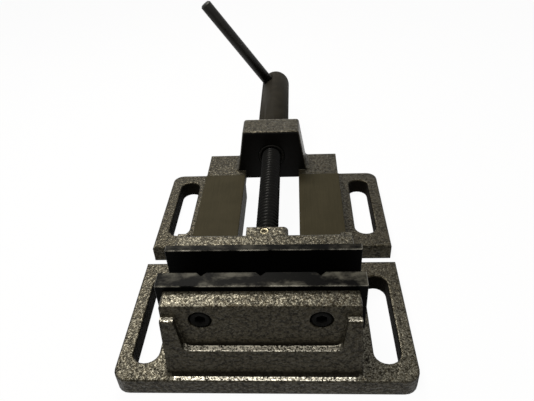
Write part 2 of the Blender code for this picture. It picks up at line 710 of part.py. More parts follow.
def tongue():
    """Guide block between the rails, its lower edges chamfered."""
    half = CHANNEL_HALF - SLIDE_GAP
    low = RAIL_ROOT_DEPTH
    outline = [(-half, JAW_BOTTOM + GAP), (-half, low + TONGUE_CHAMFER),
               (TONGUE_CHAMFER - half, low), (half - TONGUE_CHAMFER, low),
               (half, low + TONGUE_CHAMFER), (half, JAW_BOTTOM + GAP)]
    return prism("tongue", outline, "Y", TONGUE_FRONT, TONGUE_FRONT + TONGUE_LENGTH)


def make_moving_jaw():
    half = JAW_WIDTH / 2
    jaw = prism("moving_jaw_casting", jaw_profile(), "X", -half, half)
    round_edges(jaw, lambda middle, way: middle.y > MOVING_SEAT + JAW_EDGE_ROUND
                and middle.z > JAW_BOTTOM + GAP, JAW_EDGE_ROUND)
    parts = []
    for side in (-1, 1):
        edges = sorted((side * (half - GAP), side * (half - GUSSET_WIDTH)))
        parts.append(prism("gusset", gusset_profile(), "X", *edges))
    parts.append(prism("boss", boss_outline(), "Y", MOVING_SEAT + JAW_EDGE_ROUND, BOSS_REAR))
    parts.append(tongue())
    join(jaw, parts)
    tools = [
        rod("nose_bore", NOSE_DIAMETER + 2 * GAP, NOSE_BORE_END, BOSS_REAR + GAP,
            (0, 1, 0), AXIS, ROUND_SEGMENTS),
        rod("screw_trough", LEAD_DIAMETER + 2 * TROUGH_CLEARANCE, BOSS_REAR - BOSS_SPOTFACE,
            MOVING_SEAT + 2 * JAW_FOOT_REACH, (0, 1, 0), AXIS, ROUND_SEGMENTS),
        rod("set_screw_hole", SET_SCREW_DIAMETER + 2 * GAP, 0.0, JAW_CASTING_TOP,
            (0, 0, 1), (0, SET_SCREW_Y, AXIS_HEIGHT)),
    ]
    for x in plate_screw_places():
        origin = (x, MOVING_SEAT, PLATE_SCREW_HEIGHT)
        tools.append(rod("clearance_hole", SCREW_DIAMETER + 2 * GAP, -GAP, JAW_WALL_FOOT_DEPTH,
                         (0, 1, 0), origin))
        tools.append(rod("counterbore", COUNTERBORE_DIAMETER, JAW_SCREW_SEAT, JAW_FOOT_REACH,
                         (0, 1, 0), origin))
    for y in keeper_screw_places():
        tools.append(rod("keeper_tapping", SCREW_DIAMETER + 2 * GAP, RAIL_ROOT_DEPTH - GAP,
                         KEEPER_TOP - KEEPER_THICKNESS + KEEPER_SCREW_LENGTH + GAP,
                         (0, 0, 1), (0, y, 0)))
    return dress(cut(jaw, tools, "MANIFOLD"), "hammer_paint")


# Keeper plate

def keeper_screw_places():
    return [KEEPER_MIDDLE + side * KEEPER_SCREW_SPACING / 2 for side in (-1, 1)]


def make_keeper_plate():
    half = KEEPER_WIDTH / 2
    outline = rounded_rectangle((-half, KEEPER_FRONT), (half, KEEPER_FRONT + KEEPER_LENGTH),
                                [KEEPER_CORNER_RADIUS] * 4, 3)
    bottom = KEEPER_TOP - KEEPER_THICKNESS
    plate = prism("keeper_plate", outline, "Z", bottom, KEEPER_TOP)
    hole = SCREW_DIAMETER / 2 + GAP
    sink = KEEPER_HEAD_DIAMETER / 2 + GAP
    for y in keeper_screw_places():
        profile = [(-sink, 0.0), (-sink, 2 * sink), (0.0, sink), (sink - hole, hole),
                   (2 * KEEPER_THICKNESS, hole), (2 * KEEPER_THICKNESS, 0.0)]
        tool = lie_along(turned("countersink", profile, SMALL_SEGMENTS), (0, 0, 1),
                         (0, y, bottom))
        cut(plate, [tool])
    return dress(plate, "keeper_steel")


def make_keeper_screws():
    """Two countersunk screws up through the keeper plate into the tongue."""
    head = KEEPER_HEAD_DIAMETER / 2
    body = SCREW_DIAMETER / 2
    screws = []
    for end, y in zip(("front", "rear"), keeper_screw_places()):
        profile = [(0.0, 0.0), (0.0, head), (head - body, body),
                   (KEEPER_SCREW_LENGTH - KEEPER_POINT_LENGTH, body),
                   (KEEPER_SCREW_LENGTH, KEEPER_POINT_DIAMETER / 2), (KEEPER_SCREW_LENGTH, 0.0)]
        screw = turned("keeper_screw_" + end, profile, SMALL_SEGMENTS)
        cut(screw, [prism("socket", hexagon(KEEPER_SOCKET), "Z", -head, KEEPER_SOCKET_DEPTH)])
        lie_along(screw, (0, 0, 1), (0, y, KEEPER_TOP - KEEPER_THICKNESS))
        screws.append(dress(screw, "screw_black"))
    return screws


# Lead screw, hub and handle

def thread_start():
    return LEAD_START + LEAD_COLLAR


def thread_turns():
    """Whole turns of full thread between the two collars."""
    return math.floor((HUB_FRONT - GAP - LEAD_COLLAR - thread_start()) / LEAD_PITCH) - 1


def crest_radius(along, end):
    """The crest rises from the root over one turn, and sinks into it over the last."""
    rise = min(along - thread_start(), end - along) / LEAD_PITCH - 0.5
    depth = (LEAD_DIAMETER - LEAD_ROOT_DIAMETER) / 2
    return LEAD_ROOT_DIAMETER / 2 + depth * min(1.0, max(0.0, rise))


def screw_lattice(front, rear):
    """A rod along Z: turned rings, a right-hand vee thread, and turned rings again.

    The rod is made of columns of points. A column's crests and roots lie half a pitch
    apart, and a step further along than in the column before, so that the last column
    runs into the first one a whole turn on.
    """
    start = thread_start()
    last = 2 * thread_turns()
    end = start + (last / 2 + 1) * LEAD_PITCH
    root = LEAD_ROOT_DIAMETER / 2
    front = front + [(start - GAP, root)]
    rear = [(end + GAP, root), (end + GAP + LEAD_CHAMFER, LEAD_DIAMETER / 2)] + rear
    data = bmesh.new()

    def point(column, along, radius):
        angle = 2 * math.pi * column / THREAD_SEGMENTS
        return data.verts.new((radius * math.cos(angle), radius * math.sin(angle), along))

    def ring(along, radius):
        return [point(column, along, radius) for column in range(THREAD_SEGMENTS)]

    front_rings = [ring(along, radius) for along, radius in front]
    rear_rings = [ring(along, radius) for along, radius in rear]
    columns = []
    for column in range(THREAD_SEGMENTS):
        run = []
        for step in range(last + 1):
            along = start + (step / 2 + column / THREAD_SEGMENTS) * LEAD_PITCH
            run.append(point(column, along, crest_radius(along, end) if step % 2 else root))
        columns.append(run)
    for i, near in enumerate(columns):
        j = (i + 1) % THREAD_SEGMENTS
        far = columns[j]
        on = 0 if j else 2
        for rings in (front_rings, rear_rings):
            for lower, upper in zip(rings, rings[1:]):
                data.faces.new((lower[i], lower[j], upper[j], upper[i]))
        for step in range(last - on):
            data.faces.new((near[step], far[step + on], far[step + 1 + on], near[step + 1]))
        run_in = [front_rings[-1][i], front_rings[-1][j]] + far[:on + 1]
        run_out = [rear_rings[0][j], rear_rings[0][i]] + near[last - on:][::-1]
        for tip, fan in ((near[0], run_in), (far[last], run_out)):
            for first, second in zip(fan, fan[1:]):
                data.faces.new((tip, first, second))
    data.faces.new(front_rings[0])
    data.faces.new(rear_rings[-1])
    return make_object("lead_screw", data)


def make_lead_screw():
    """Turned spindle: nose with its retaining groove, threaded length and hub shank."""
    nose = NOSE_DIAMETER / 2
    groove = NOSE_GROOVE_DIAMETER / 2
    lead = LEAD_DIAMETER / 2
    shank = SHANK_DIAMETER / 2
    low = SET_SCREW_Y - NOSE_GROOVE_WIDTH / 2
    high = SET_SCREW_Y + NOSE_GROOVE_WIDTH / 2
    front = [
        (NOSE_TIP, nose - LEAD_CHAMFER), (NOSE_TIP + LEAD_CHAMFER, nose), (low, nose),
        (low, groove), (high, groove), (high, nose), (LEAD_START, nose),
        (LEAD_START, lead - LEAD_CHAMFER / 2), (LEAD_START + LEAD_CHAMFER / 2, lead),
        (thread_start() - LEAD_CHAMFER, lead),
    ]
    rear = [(HUB_FRONT - GAP, lead), (HUB_FRONT - GAP, shank),
            (HUB_FRONT + SHANK_LENGTH, shank)]
    screw = lie_along(screw_lattice(front, rear), (0, 1, 0), AXIS)
    cut(screw, [hub_pin_rod("pin_hole", 2 * GAP, HUB_DIAMETER)])
    return dress(screw, "black_oxide")


def hub_pin_rod(name, grow, length):
    return rod(name, HUB_PIN_DIAMETER + grow, -length / 2, length / 2, (1, 0, 0),
               (0, HUB_FRONT + HUB_PIN_SETBACK, AXIS_HEIGHT))


def handle_direction():
    return Vector((math.cos(HANDLE_ANGLE), 0.0, math.sin(HANDLE_ANGLE)))


def handle_origin():
    return Vector((0.0, HANDLE_Y, AXIS_HEIGHT))


def make_hub():
    """Long hub with a domed end, bored for the shank and tapped for the handle."""
    radius = HUB_DIAMETER / 2
    dome = [(DOME_CENTRE + radius * math.sin(math.pi / 2 * i / DOME_STEPS),
             radius * math.cos(math.pi / 2 * i / DOME_STEPS)) for i in range(DOME_STEPS)]
    profile = [(HUB_FRONT, 0.0), (HUB_FRONT, radius - HUB_CHAMFER),
               (HUB_FRONT + HUB_CHAMFER, radius)] + dome + [(DOME_CENTRE + radius, 0.0)]
    hub = lie_along(turned("spindle_hub", profile), (0, 1, 0), AXIS)
    spot = HANDLE_DIAMETER + 4 * GAP
    return dress(cut(hub, [
        rod("shank_bore", SHANK_DIAMETER + 2 * GAP, HUB_FRONT - GAP,
            HUB_FRONT + SHANK_LENGTH + 4 * GAP, (0, 1, 0), AXIS),
        hub_pin_rod("pin_hole", 2 * GAP, 2 * HUB_DIAMETER),
        rod("handle_seat", spot, HANDLE_SEAT, HUB_DIAMETER, handle_direction(),
            handle_origin(), ROUND_SEGMENTS),
        rod("handle_tapping", HANDLE_SPIGOT_DIAMETER + 2 * GAP,
            HANDLE_SEAT - HANDLE_SPIGOT_LENGTH - GAP, HUB_DIAMETER, handle_direction(),
            handle_origin()),
    ], "MANIFOLD"), "black_oxide")


def make_hub_pin():
    pin = hub_pin_rod("hub_pin", 0.0, HUB_DIAMETER - HUB_PIN_SHORT)
    return dress(pin, "screw_black")


def make_handle():
    """Straight bar with a threaded spigot in the hub and a chamfered tip."""
    spigot = HANDLE_SPIGOT_DIAMETER / 2
    bar = HANDLE_DIAMETER / 2
    seat = HANDLE_SEAT + GAP
    profile = [
        (HANDLE_SEAT - HANDLE_SPIGOT_LENGTH, 0.0), (HANDLE_SEAT - HANDLE_SPIGOT_LENGTH, spigot),
        (seat, spigot), (seat, bar), (HANDLE_LENGTH - HANDLE_CHAMFER, bar),
        (HANDLE_LENGTH, bar - HANDLE_CHAMFER), (HANDLE_LENGTH, 0.0),
    ]
    handle = lie_along(turned("handle_bar", profile), handle_direction(), handle_origin())
    return dress(handle, "black_oxide")


def make_bush():
    """Threaded bush in the lug; its thread is left as a plain bore."""
    outer = BUSH_DIAMETER / 2
    inner = LEAD_DIAMETER / 2 + THREAD_CLEARANCE
    front = LUG_FRONT - BUSH_PROUD
    rear = RECESS_END - BUSH_REAR_SINK
    profile = [
        (front, inner + LEAD_CHAMFER), (front, outer - GAP), (front + GAP, outer),
        (rear, outer), (rear, inner + LEAD_CHAMFER), (rear - LEAD_CHAMFER, inner),
        (front + LEAD_CHAMFER, inner), (front, inner + LEAD_CHAMFER),
    ]
    bush = lie_along(turned("screw_bush", profile), (0, 1, 0), AXIS)
    return dress(bush, "bush_steel")


def set_screw(name, direction, origin, length, point_length, point_diameter):
    """Socket set screw along a direction: flush end at zero, point at length."""
    body = SET_SCREW_DIAMETER / 2
    point = point_diameter / 2
    profile = [(0.0, 0.0), (0.0, body - SET_SCREW_CHAMFER), (SET_SCREW_CHAMFER, body),
               (length - point_length, body), (length - point_length, point),
               (length, point), (length, 0.0)]
    screw = turned(name, profile, SMALL_SEGMENTS)
    socket = prism("socket", hexagon(SET_SCREW_SOCKET), "Z", -body, SET_SCREW_SOCKET_DEPTH)
    return lie_along(cut(screw, [socket]), direction, origin)


def make_spindle_set_screw():
    top = JAW_CASTING_TOP - SET_SCREW_SINK
    tip = AXIS_HEIGHT + NOSE_GROOVE_DIAMETER / 2 + GAP
    screw = set_screw("spindle_set_screw", (0, 0, -1), (0, SET_SCREW_Y, top), top - tip,
                      SET_SCREW_POINT_LENGTH, SET_SCREW_POINT_DIAMETER)
    return dress(screw, "bright_steel")


def make_bush_grub_screw():
    tip = AXIS_HEIGHT - BUSH_DIAMETER / 2 - GAP
    screw = set_screw("bush_grub_screw", (0, 0, 1), (0, bush_middle(), tip - BUSH_GRUB_LENGTH),
                      BUSH_GRUB_LENGTH, BUSH_GRUB_POINT_LENGTH, BUSH_GRUB_POINT_DIAMETER)
    return dress(screw, "screw_black")


def make_thrust_button():
    """Hard disc at the bottom of the nose bore that takes the screw's thrust."""
    start = NOSE_BORE_END + GAP
    button = rod("thrust_button", BUTTON_DIAMETER, start, start + BUTTON_THICKNESS,
                 (0, 1, 0), AXIS)
    return dress(button, "bright_steel")


def pivot(name, place):
    """An empty on a joint's axis, which carries one moving body."""
    empty = bpy.data.objects.new(name, None)
    empty.location = place
    bpy.context.scene.collection.objects.link(empty)
    return empty


def hang(thing, parent):
    """Parent a finished solid, keeping it where it is, with its origin on the axis."""
    place = parent.matrix_world.translation if parent.parent is None else \
        parent.location + parent.parent.location
    thing.data.transform(Matrix.Translation(-place))
    thing.parent = parent


def main():
    clear_scene()
    make_base()
    make_fixed_plate()
    make_plate_screws("fixed", BLOCK_FRONT + COUNTERBORE_DEPTH - GAP, (0, 1, 0),
                      JAW_BLOCK_DEPTH - COUNTERBORE_DEPTH + 2 * GAP + SCREW_BITE)
    make_bush()
    make_bush_grub_screw()

    slide = pivot("jaw_slide", AXIS)
    spin = pivot("spindle_spin", (0, 0, 0))
    spin.parent = slide
    moving = [
        make_moving_jaw(),
        make_moving_plate(),
        make_thrust_button(),
        make_spindle_set_screw(),
        make_keeper_plate(),
    ]
    moving += make_plate_screws("moving", MOVING_SEAT + JAW_SCREW_SEAT + GAP, (0, -1, 0),
                                JAW_SCREW_SEAT + 2 * GAP + MOVING_SCREW_BITE)
    moving += make_keeper_screws()
    turning = [make_lead_screw(), make_hub(), make_hub_pin(), make_handle()]
    bpy.context.view_layer.update()
    for thing in moving:
        hang(thing, slide)
    for thing in turning:
        hang(thing, spin)


main()
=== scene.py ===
import json
import math

import bmesh
import bpy
from mathutils import Matrix, Vector


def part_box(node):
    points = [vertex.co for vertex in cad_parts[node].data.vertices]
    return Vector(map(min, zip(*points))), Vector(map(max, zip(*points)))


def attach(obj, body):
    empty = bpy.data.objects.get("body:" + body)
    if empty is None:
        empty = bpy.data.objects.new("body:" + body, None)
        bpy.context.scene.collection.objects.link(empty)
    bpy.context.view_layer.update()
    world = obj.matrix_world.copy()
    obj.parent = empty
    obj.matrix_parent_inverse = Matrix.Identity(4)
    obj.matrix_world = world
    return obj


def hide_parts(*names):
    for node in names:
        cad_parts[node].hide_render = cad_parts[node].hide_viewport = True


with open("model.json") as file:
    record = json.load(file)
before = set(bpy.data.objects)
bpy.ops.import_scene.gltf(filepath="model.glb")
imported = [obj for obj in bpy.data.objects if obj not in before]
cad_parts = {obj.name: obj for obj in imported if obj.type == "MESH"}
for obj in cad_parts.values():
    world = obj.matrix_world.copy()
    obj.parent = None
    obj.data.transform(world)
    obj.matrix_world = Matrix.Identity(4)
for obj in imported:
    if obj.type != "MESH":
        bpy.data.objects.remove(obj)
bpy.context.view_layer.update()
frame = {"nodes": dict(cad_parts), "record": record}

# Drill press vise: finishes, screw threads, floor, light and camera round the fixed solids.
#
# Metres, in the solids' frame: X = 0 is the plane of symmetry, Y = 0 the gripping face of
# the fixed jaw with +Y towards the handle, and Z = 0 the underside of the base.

MM = 0.001

# Camera: place, turn and lens
CAMERA_PLACE = Vector((0.01886, -0.17980, 0.23962))
CAMERA_YAW = math.radians(-4.36)
CAMERA_PITCH = math.radians(-36.89)
CAMERA_ROLL = math.radians(-3.54)
CAMERA_LENS_MM = 35.0
CAMERA_SENSOR_MM = 36.0
CAMERA_NEAR = 0.01

# Lead screw, turned about the axis between the jaws
AXIS = Vector((0.0, 0.0, 0.0414))
LEAD_DIAMETER = 13.4 * MM
LEAD_ROOT_DIAMETER = 10.6 * MM
LEAD_PITCH = 3.0 * MM
LEAD_PLAIN_END = 2.0 * MM       # least plain length at each end of the thread
LEAD_CORE_UNDERCUT = 0.3 * MM   # solid core under the thread's root
NOSE_DIAMETER = 10.0 * MM
NOSE_GROOVE_DIAMETER = 7.0 * MM
NOSE_GROOVE_WIDTH = 3.8 * MM
NOSE_CHAMFER = 1.0 * MM
NOSE_SHOULDER = 17.54 * MM      # from the moving jaw's front to the screw's full diameter
THREAD_RELIEF = 0.3 * MM        # from the thread's end to the bottom of its relief
SHANK_DIAMETER = 12.0 * MM
HUB_PLAY = 0.3 * MM

# Socket head screws of the jaw plates, M6
CAP_HEAD_DIAMETER = 10.0 * MM
CAP_HEAD_HEIGHT = 6.0 * MM
CAP_SOCKET = 5.0 * MM
CAP_SOCKET_DEPTH = 3.2 * MM
CAP_EDGE = 0.5 * MM
CAP_KNURL_DEPTH = 0.14 * MM
SOCKET_DRILL_POINT = 0.5 * MM   # deeper than a socket's floor, in its middle
SOCKET_FLOOR_SHARE = 0.8        # drilled floor as a share of the hexagon's corner
SOCKET_CHAMFER = 0.35 * MM
SOCKET_CHAMFER_DEPTH = 0.3 * MM
M6_DIAMETER = 6.0 * MM
M6_PITCH = 1.0 * MM

# Countersunk screws of the keeper, M6, and socket set screws, M5
KEEPER_HEAD_DIAMETER = 11.5 * MM
KEEPER_SOCKET = 4.0 * MM
KEEPER_SOCKET_DEPTH = 2.65 * MM
KEEPER_EDGE = 0.2 * MM
M5_DIAMETER = 5.0 * MM
M5_PITCH = 0.8 * MM
SET_SOCKET = 2.5 * MM
SET_SOCKET_DEPTH = 2.6 * MM
SET_EDGE = 0.3 * MM
SET_POINT_DIAMETER = 3.2 * MM
SET_POINT_LENGTH = 2.2 * MM
GRUB_POINT_DIAMETER = 3.5 * MM
GRUB_POINT_LENGTH = 0.8 * MM
THREAD_DEPTH_SHARE = 0.61       # depth of a fastener's thread as a share of its pitch

# Thread form across one pitch: flat crest, straight flanks, flat root
FLANK_TOP = 1.17
FLANK_SLOPE = 2.67
RUN_OUT_DELAY = 0.5             # of a run-out passes before the thread rises

# Facets
TURNED_SEGMENTS = 96
THREAD_SEGMENTS = 36
THREAD_SAMPLES = 10             # across one pitch
SHARP_ANGLE = math.radians(35)
THREAD_WELD = 0.004 * MM
PIECE_WELD = 0.002 * MM
SOLID_WELD = 0.001 * MM


# Node trees

class Wire:
    """One value in a node tree. Arithmetic on it adds the Math nodes."""

    def __init__(self, tree, socket):
        self.tree = tree
        self.socket = socket

    def out(self, name):
        """Another output of the node that this value comes from."""
        return Wire(self.tree, self.socket.node.outputs[name])

    def maths(self, operation, first, second):
        return self.tree.node("ShaderNodeMath", {"operation": operation},
                              {0: first, 1: second})

    def __add__(self, other):
        return self.maths("ADD", self, other)

    def __sub__(self, other):
        return self.maths("SUBTRACT", self, other)

    def __rsub__(self, other):
        return self.maths("SUBTRACT", other, self)

    def __mul__(self, other):
        return self.maths("MULTIPLY", self, other)

    def __truediv__(self, other):
        return self.maths("DIVIDE", self, other)

    def __gt__(self, other):
        return self.maths("GREATER_THAN", self, other)

    def __lt__(self, other):
        return self.maths("LESS_THAN", self, other)

    __radd__ = __add__
    __rmul__ = __mul__


class Tree:
    """Adds nodes to a material's or a modifier's tree, one call for each node."""

    def __init__(self, tree):
        self.tree = tree

    def node(self, kind, settings=None, inputs=None, output=0):
        """One node from its kind, its settings and the values or links of its sockets."""
        node = self.tree.nodes.new(kind)
        for name, value in (settings or {}).items():
            setattr(node, name, value)
        for key, value in (inputs or {}).items():
            if isinstance(value, Wire):
                self.tree.links.new(value.socket, node.inputs[key])
            else:
                node.inputs[key].default_value = value
        return Wire(self, node.outputs[output]) if len(node.outputs) else None

    def colours(self, factor, first, second):
        """From the first colour at 0 to the second at 1."""
        return self.node("ShaderNodeMix", {"data_type": "RGBA"},
                         {0: factor, 6: rgba(first), 7: rgba(second)}, 2)

    def clamped(self, operation, first, second):
        return self.node("ShaderNodeMath", {"operation": operation, "use_clamp": True},
                         {0: first, 1: second})

    def fade(self, value, low, high):
        """0 below low, 1 above high, smooth between. Low may be the larger of the two."""
        return self.node("ShaderNodeMapRange", {"interpolation_type": "SMOOTHSTEP"},
                         {"Value": value, "From Min": low, "From Max": high})

    def noise(self, place, scale, detail, roughness=0.5):
        return self.node("ShaderNodeTexNoise", None,
                         {"Vector": place, "Scale": scale, "Detail": detail,
                          "Roughness": roughness})

    def cells(self, place, scale):
        return self.node("ShaderNodeTexVoronoi", {"feature": "SMOOTH_F1"},
                         {"Vector": place, "Scale": scale})

    def between(self, value, low, high):
        """1 where the value lies between the two numbers, and 0 elsewhere."""
        return (value > low) * (value < high)

    def stretched(self, place, scale):
        return self.node("ShaderNodeMapping", None, {"Vector": place, "Scale": scale})

    def parts(self, vector):
        """A vector's three components."""
        split = self.node("ShaderNodeSeparateXYZ", None, {0: vector})
        return split, split.out("Y"), split.out("Z")


def rgba(colour):
    """A colour with its alpha, or a link as it is."""
    return colour if isinstance(colour, Wire) else (*colour, 1.0)


class Finish(Tree):
    """A material in progress: places in millimetres and the surface's own direction."""

    def __init__(self, name):
        self.material = bpy.data.materials.new(name)
        self.material.use_nodes = True
        self.material.node_tree.nodes.clear()
        super().__init__(self.material.node_tree)
        metres = self.node("ShaderNodeTexCoord", None, None, "Object")
        self.place = self.node("ShaderNodeVectorMath", {"operation": "SCALE"},
                               {0: metres, "Scale": 1 / MM})
        self.x, self.y, self.z = self.parts(self.place)
        geometry = self.node("ShaderNodeNewGeometry", None, None, "True Normal")
        self.facing_x, self.facing_y, self.facing_z = self.parts(geometry)

    def soft_normal(self, radius, height, depth, strength):
        """Edges rounded by a small radius, with a relief of a given depth on top."""
        edge = self.node("ShaderNodeBevel", {"samples": 6}, {"Radius": radius})
        return self.node("ShaderNodeBump", None, {"Strength": strength, "Distance": depth,
                                                  "Height": height, "Normal": edge})

    def done(self, base, roughness, metallic, normal, gloss):
        inputs = {"Base Color": rgba(base), "Roughness": roughness, "Metallic": metallic,
                  "Specular IOR Level": gloss, "Normal": normal}
        shader = self.node("ShaderNodeBsdfPrincipled", None, inputs)
        self.node("ShaderNodeOutputMaterial", None, {"Surface": shader})
        return self.material


# Places on the castings, in mm

RAIL_TOP_BAND = (29.6, 30.2)    # heights between which a level face is a rail's top
RAIL_START = -9.0
WAY_SIDES = (-19.6, 19.6)       # round the milled inner walls of the rails
WAY_REACH = (3.0, 136.0)
FOOT_HEIGHT = 0.1               # below this a face that looks down is milled
TONGUE_TOP = 29.9
JAW_SLIDE_TOP = 30.4            # below this the moving jaw slides on its downward faces
ABOVE_EARS = 12.0
SLOT_TOP = 11.0                 # just under the ears' upper face
SLOT_SIDE_MARGIN = 1.0          # from the opening in the record out to the slot's walls
SLOT_END_MARGIN = 4.25
LEDGES_AHEAD_OF = -19.4
LEDGE_HEIGHTS = (20.0, 55.0)
STRIP_AHEAD_OF = -24.5          # strip along the base's front edge
STRIP_SIDES = (-46.0, 46.0)
STRIP_BOTTOM = 10.0
FOOT_COVE_SIDES = (-47.4, 47.4)
FOOT_COVE_REACH = (-24.6, -22.0)
FOOT_COVE_FADE = (15.5, 12.5)   # heights from no painted shade down to full painted shade
FOOT_COVE_BOTTOM = 11.0
RECESS_COVE_SIDES = (-42.0, 42.0)
RECESS_COVE_REACH = (-20.4, -18.8)
RECESS_COVE_FADE = (34.0, 30.5)
RECESS_COVE_BOTTOM = 29.0
LUG_RIDGE_START = 155.2
LUG_RIDGE_BOTTOM = 59.4
LUG_FACE_DEPTH = 3.5            # from the bush's front end back through the lug's face
SOCKET_BAND = (54.0, 57.5)      # heights of the socket in the boss's set screw
SOCKET_BAND_EDGE = 0.4
PAINTED_FALLOFF_FADE = (90.0, -20.0)      # along Y, from the darker rear flake to the lighter front one: painted light falloff
FACING = 0.9                    # cosine past which a face looks along an axis

# Colours

PAINT_DARK = (0.012, 0.010, 0.006)
PAINT_BROWN = (0.034, 0.028, 0.0165)
# Flake colours carry painted light: lighter at the front than at the rear, and darker on steep
# faces than on level ones
FLAKE_LIT_FRONT = (0.135, 0.127, 0.101)
FLAKE_SHADED_REAR = (0.074, 0.068, 0.052)
FLAKE_SHADED_STEEP = (0.052, 0.047, 0.034)
# near-white painted highlight flecks on the front ledges and the lug's rear ridge
PAINTED_GLINT = (0.62, 0.59, 0.50)
# painted shade for the ears' sideways walls, the slot walls and the front coves
PAINTED_SHADE = (0.006, 0.005, 0.0035)
# painted shade on the lug's front face
LUG_FACE_SHADE = (0.004, 0.0036, 0.003)
MILLED_IRON = (0.026, 0.022, 0.0112)
MILLED_STREAK = (0.036, 0.0305, 0.0167)
PLATE_BLACK = (0.002, 0.002, 0.0018)
FIXED_PLATE_WORN = (0.075, 0.072, 0.059)
MOVING_PLATE_WORN = (0.036, 0.034, 0.028)
# bare-steel colour on the plates' chamfers: partly wear, partly a painted highlight
CHAMFER_WEAR_AND_GLINT = (0.20, 0.19, 0.16)
SCREW_DARK = (0.003, 0.003, 0.0027)
SCREW_LIGHT = (0.006, 0.0057, 0.0047)
HUB_DARK = (0.012, 0.0103, 0.0072)
HUB_LIGHT = (0.019, 0.0165, 0.0118)
BAR_DARK = (0.01, 0.0095, 0.008)
BAR_LIGHT = (0.018, 0.017, 0.014)
BUSH_DARK = (0.005, 0.0047, 0.004)
BUSH_LIGHT = (0.010, 0.0094, 0.008)
FASTENER_DARK = (0.005, 0.005, 0.005)
FASTENER_LIGHT = (0.009, 0.009, 0.008)
ZINC_DARK = (0.20, 0.175, 0.115)
ZINC_LIGHT = (0.34, 0.30, 0.20)
KEEPER_DARK = (0.10, 0.095, 0.085)
KEEPER_LIGHT = (0.16, 0.15, 0.135)
# painted shade inside the boss's set screw socket
SOCKET_SHADE = (0.02, 0.017, 0.010)

# Patterns, their scales in repeats per mm

WANDER_SCALE = 0.7
WANDER_REACH = (1.8, 1.8, 1.8)  # mm by which pools and flakes stray
POOL_SCALE = 0.52
FLAKE_SCALE = 1.15
PAINT_CLOUD_SCALE = 0.045
PLATE_CLOUD_SCALE = 0.075
MILLED_STRETCH = (0.9, 0.02, 0.9)
TURNED_STRETCH = (0.04, 1.0, 0.04)
GROUND_STRETCH = (1.0, 1.6, 1.6)
VEIN_FADE = (0.30, 0.60)
FLAKE_FADE = (0.42, 0.72)
PAINTED_GLINT_FADE = (0.42, 0.56)
LEVEL_FADE = (0.2, 0.9)         # upward part of a face's direction, from steep to level
COVE_SHADE_LEVEL = 0.75               # how far the painted shade in the coves covers the flake
PAINT_RELIEF = 0.38 * MM
CAST_EDGE_RADIUS = 0.9 * MM
GROUND_EDGE_RADIUS = 0.35 * MM
TURNED_EDGE_RADIUS = 0.3 * MM
SCREW_EDGE_RADIUS = 0.15 * MM

# Shine

PAINT_ROUGHNESS = 0.33
PAINT_METAL = 0.35
FLAKE_METAL = 0.5               # added where the flake is
PAINT_GLOSS = 0.05
MILLED_ROUGHNESS = 0.55
MILLED_METAL = 0.12
PLATE_ROUGHNESS = 0.34
PLATE_GLOSS = 0.02


# Finishes

def opening(name):
    """Low and high corner of an opening in the record, in mm."""
    rows = frame["record"]["physics"]["openings"]
    low, high = next(row["box_m"] for row in rows if row["name"] == name)
    return Vector(low) / MM, Vector(high) / MM


def hammered(finish):
    """Colour, roughness, metal and relief of hammered paint: flakes over dark veins, with
    painted light falloff, painted shade and painted highlights.
    """
    wander = finish.noise(finish.place, WANDER_SCALE, 2.0)
    moved = finish.node("ShaderNodeVectorMath", {"operation": "MULTIPLY_ADD"},
                        {0: wander.out("Color"), 1: WANDER_REACH, 2: finish.place})
    pools = finish.cells(moved, POOL_SCALE)
    fine = finish.noise(moved, FLAKE_SCALE, 2.0, 0.55)
    broad = finish.noise(finish.place, PAINT_CLOUD_SCALE, 2.0)
    vein = finish.fade(pools, *VEIN_FADE)
    flake = finish.fade(fine + vein * -0.06 + broad * 0.12, *FLAKE_FADE)
    level = finish.fade(finish.facing_z, *LEVEL_FADE)
    # Painted light: level flake lighter towards the front and darker towards the rear, steep
    # faces darker still
    painted_falloff = finish.colours(finish.fade(finish.y, *PAINTED_FALLOFF_FADE), FLAKE_SHADED_REAR, FLAKE_LIT_FRONT)
    body = finish.colours(vein, PAINT_BROWN, PAINT_DARK)
    colour = finish.colours(flake, body, finish.colours(level, FLAKE_SHADED_STEEP, painted_falloff))
    roughness = PAINT_ROUGHNESS + vein * 0.08 - flake * 0.04
    height = (1 - pools) * 0.9 + fine * 0.4
    # Painted shade: ears' sideways walls, slot walls and front coves darkened, and made rough
    # and not metallic
    painted_shade_mask = finish.fade(ear_walls(finish) + slot_walls(finish) + shaded_coves(finish), 0.0, 1.0)
    colour = finish.colours(painted_shade_mask, colour, PAINTED_SHADE)
    # Painted highlight: near-white flecks along the front ledges and the lug's rear ridge
    painted_glint_mask = (front_ledge_glints(finish) + lug_ridge_glint(finish)) * finish.fade(fine, *PAINTED_GLINT_FADE)
    colour = finish.colours(painted_glint_mask, colour, PAINTED_GLINT)
    metal = (flake * FLAKE_METAL + PAINT_METAL) * (1 - painted_shade_mask)
    return colour, roughness + painted_shade_mask * 0.55, metal, height


def ear_walls(finish):
    """Walls of the ears that face sideways, darkened there with painted shade."""
    sideways = finish.facing_x * finish.facing_x
    return finish.fade(sideways, 0.3, 0.8) * (finish.z < ABOVE_EARS)


def slot_walls(finish):
    """The walls inside the four bolt slots, all round, darkened there with painted shade."""
    low, high = opening("front_right_slot")
    rear_low, rear_high = opening("rear_right_slot")
    across = finish.between(finish.x * finish.x, (low.x - SLOT_SIDE_MARGIN) ** 2,
                            (high.x + SLOT_SIDE_MARGIN) ** 2)
    front = finish.between(finish.y, low.y - SLOT_END_MARGIN, high.y + SLOT_END_MARGIN)
    rear = finish.between(finish.y, rear_low.y - SLOT_END_MARGIN,
                          rear_high.y + SLOT_END_MARGIN)
    steep = finish.fade(finish.facing_z, 0.5, 0.2)
    return across * (front + rear) * (finish.z < SLOT_TOP) * steep


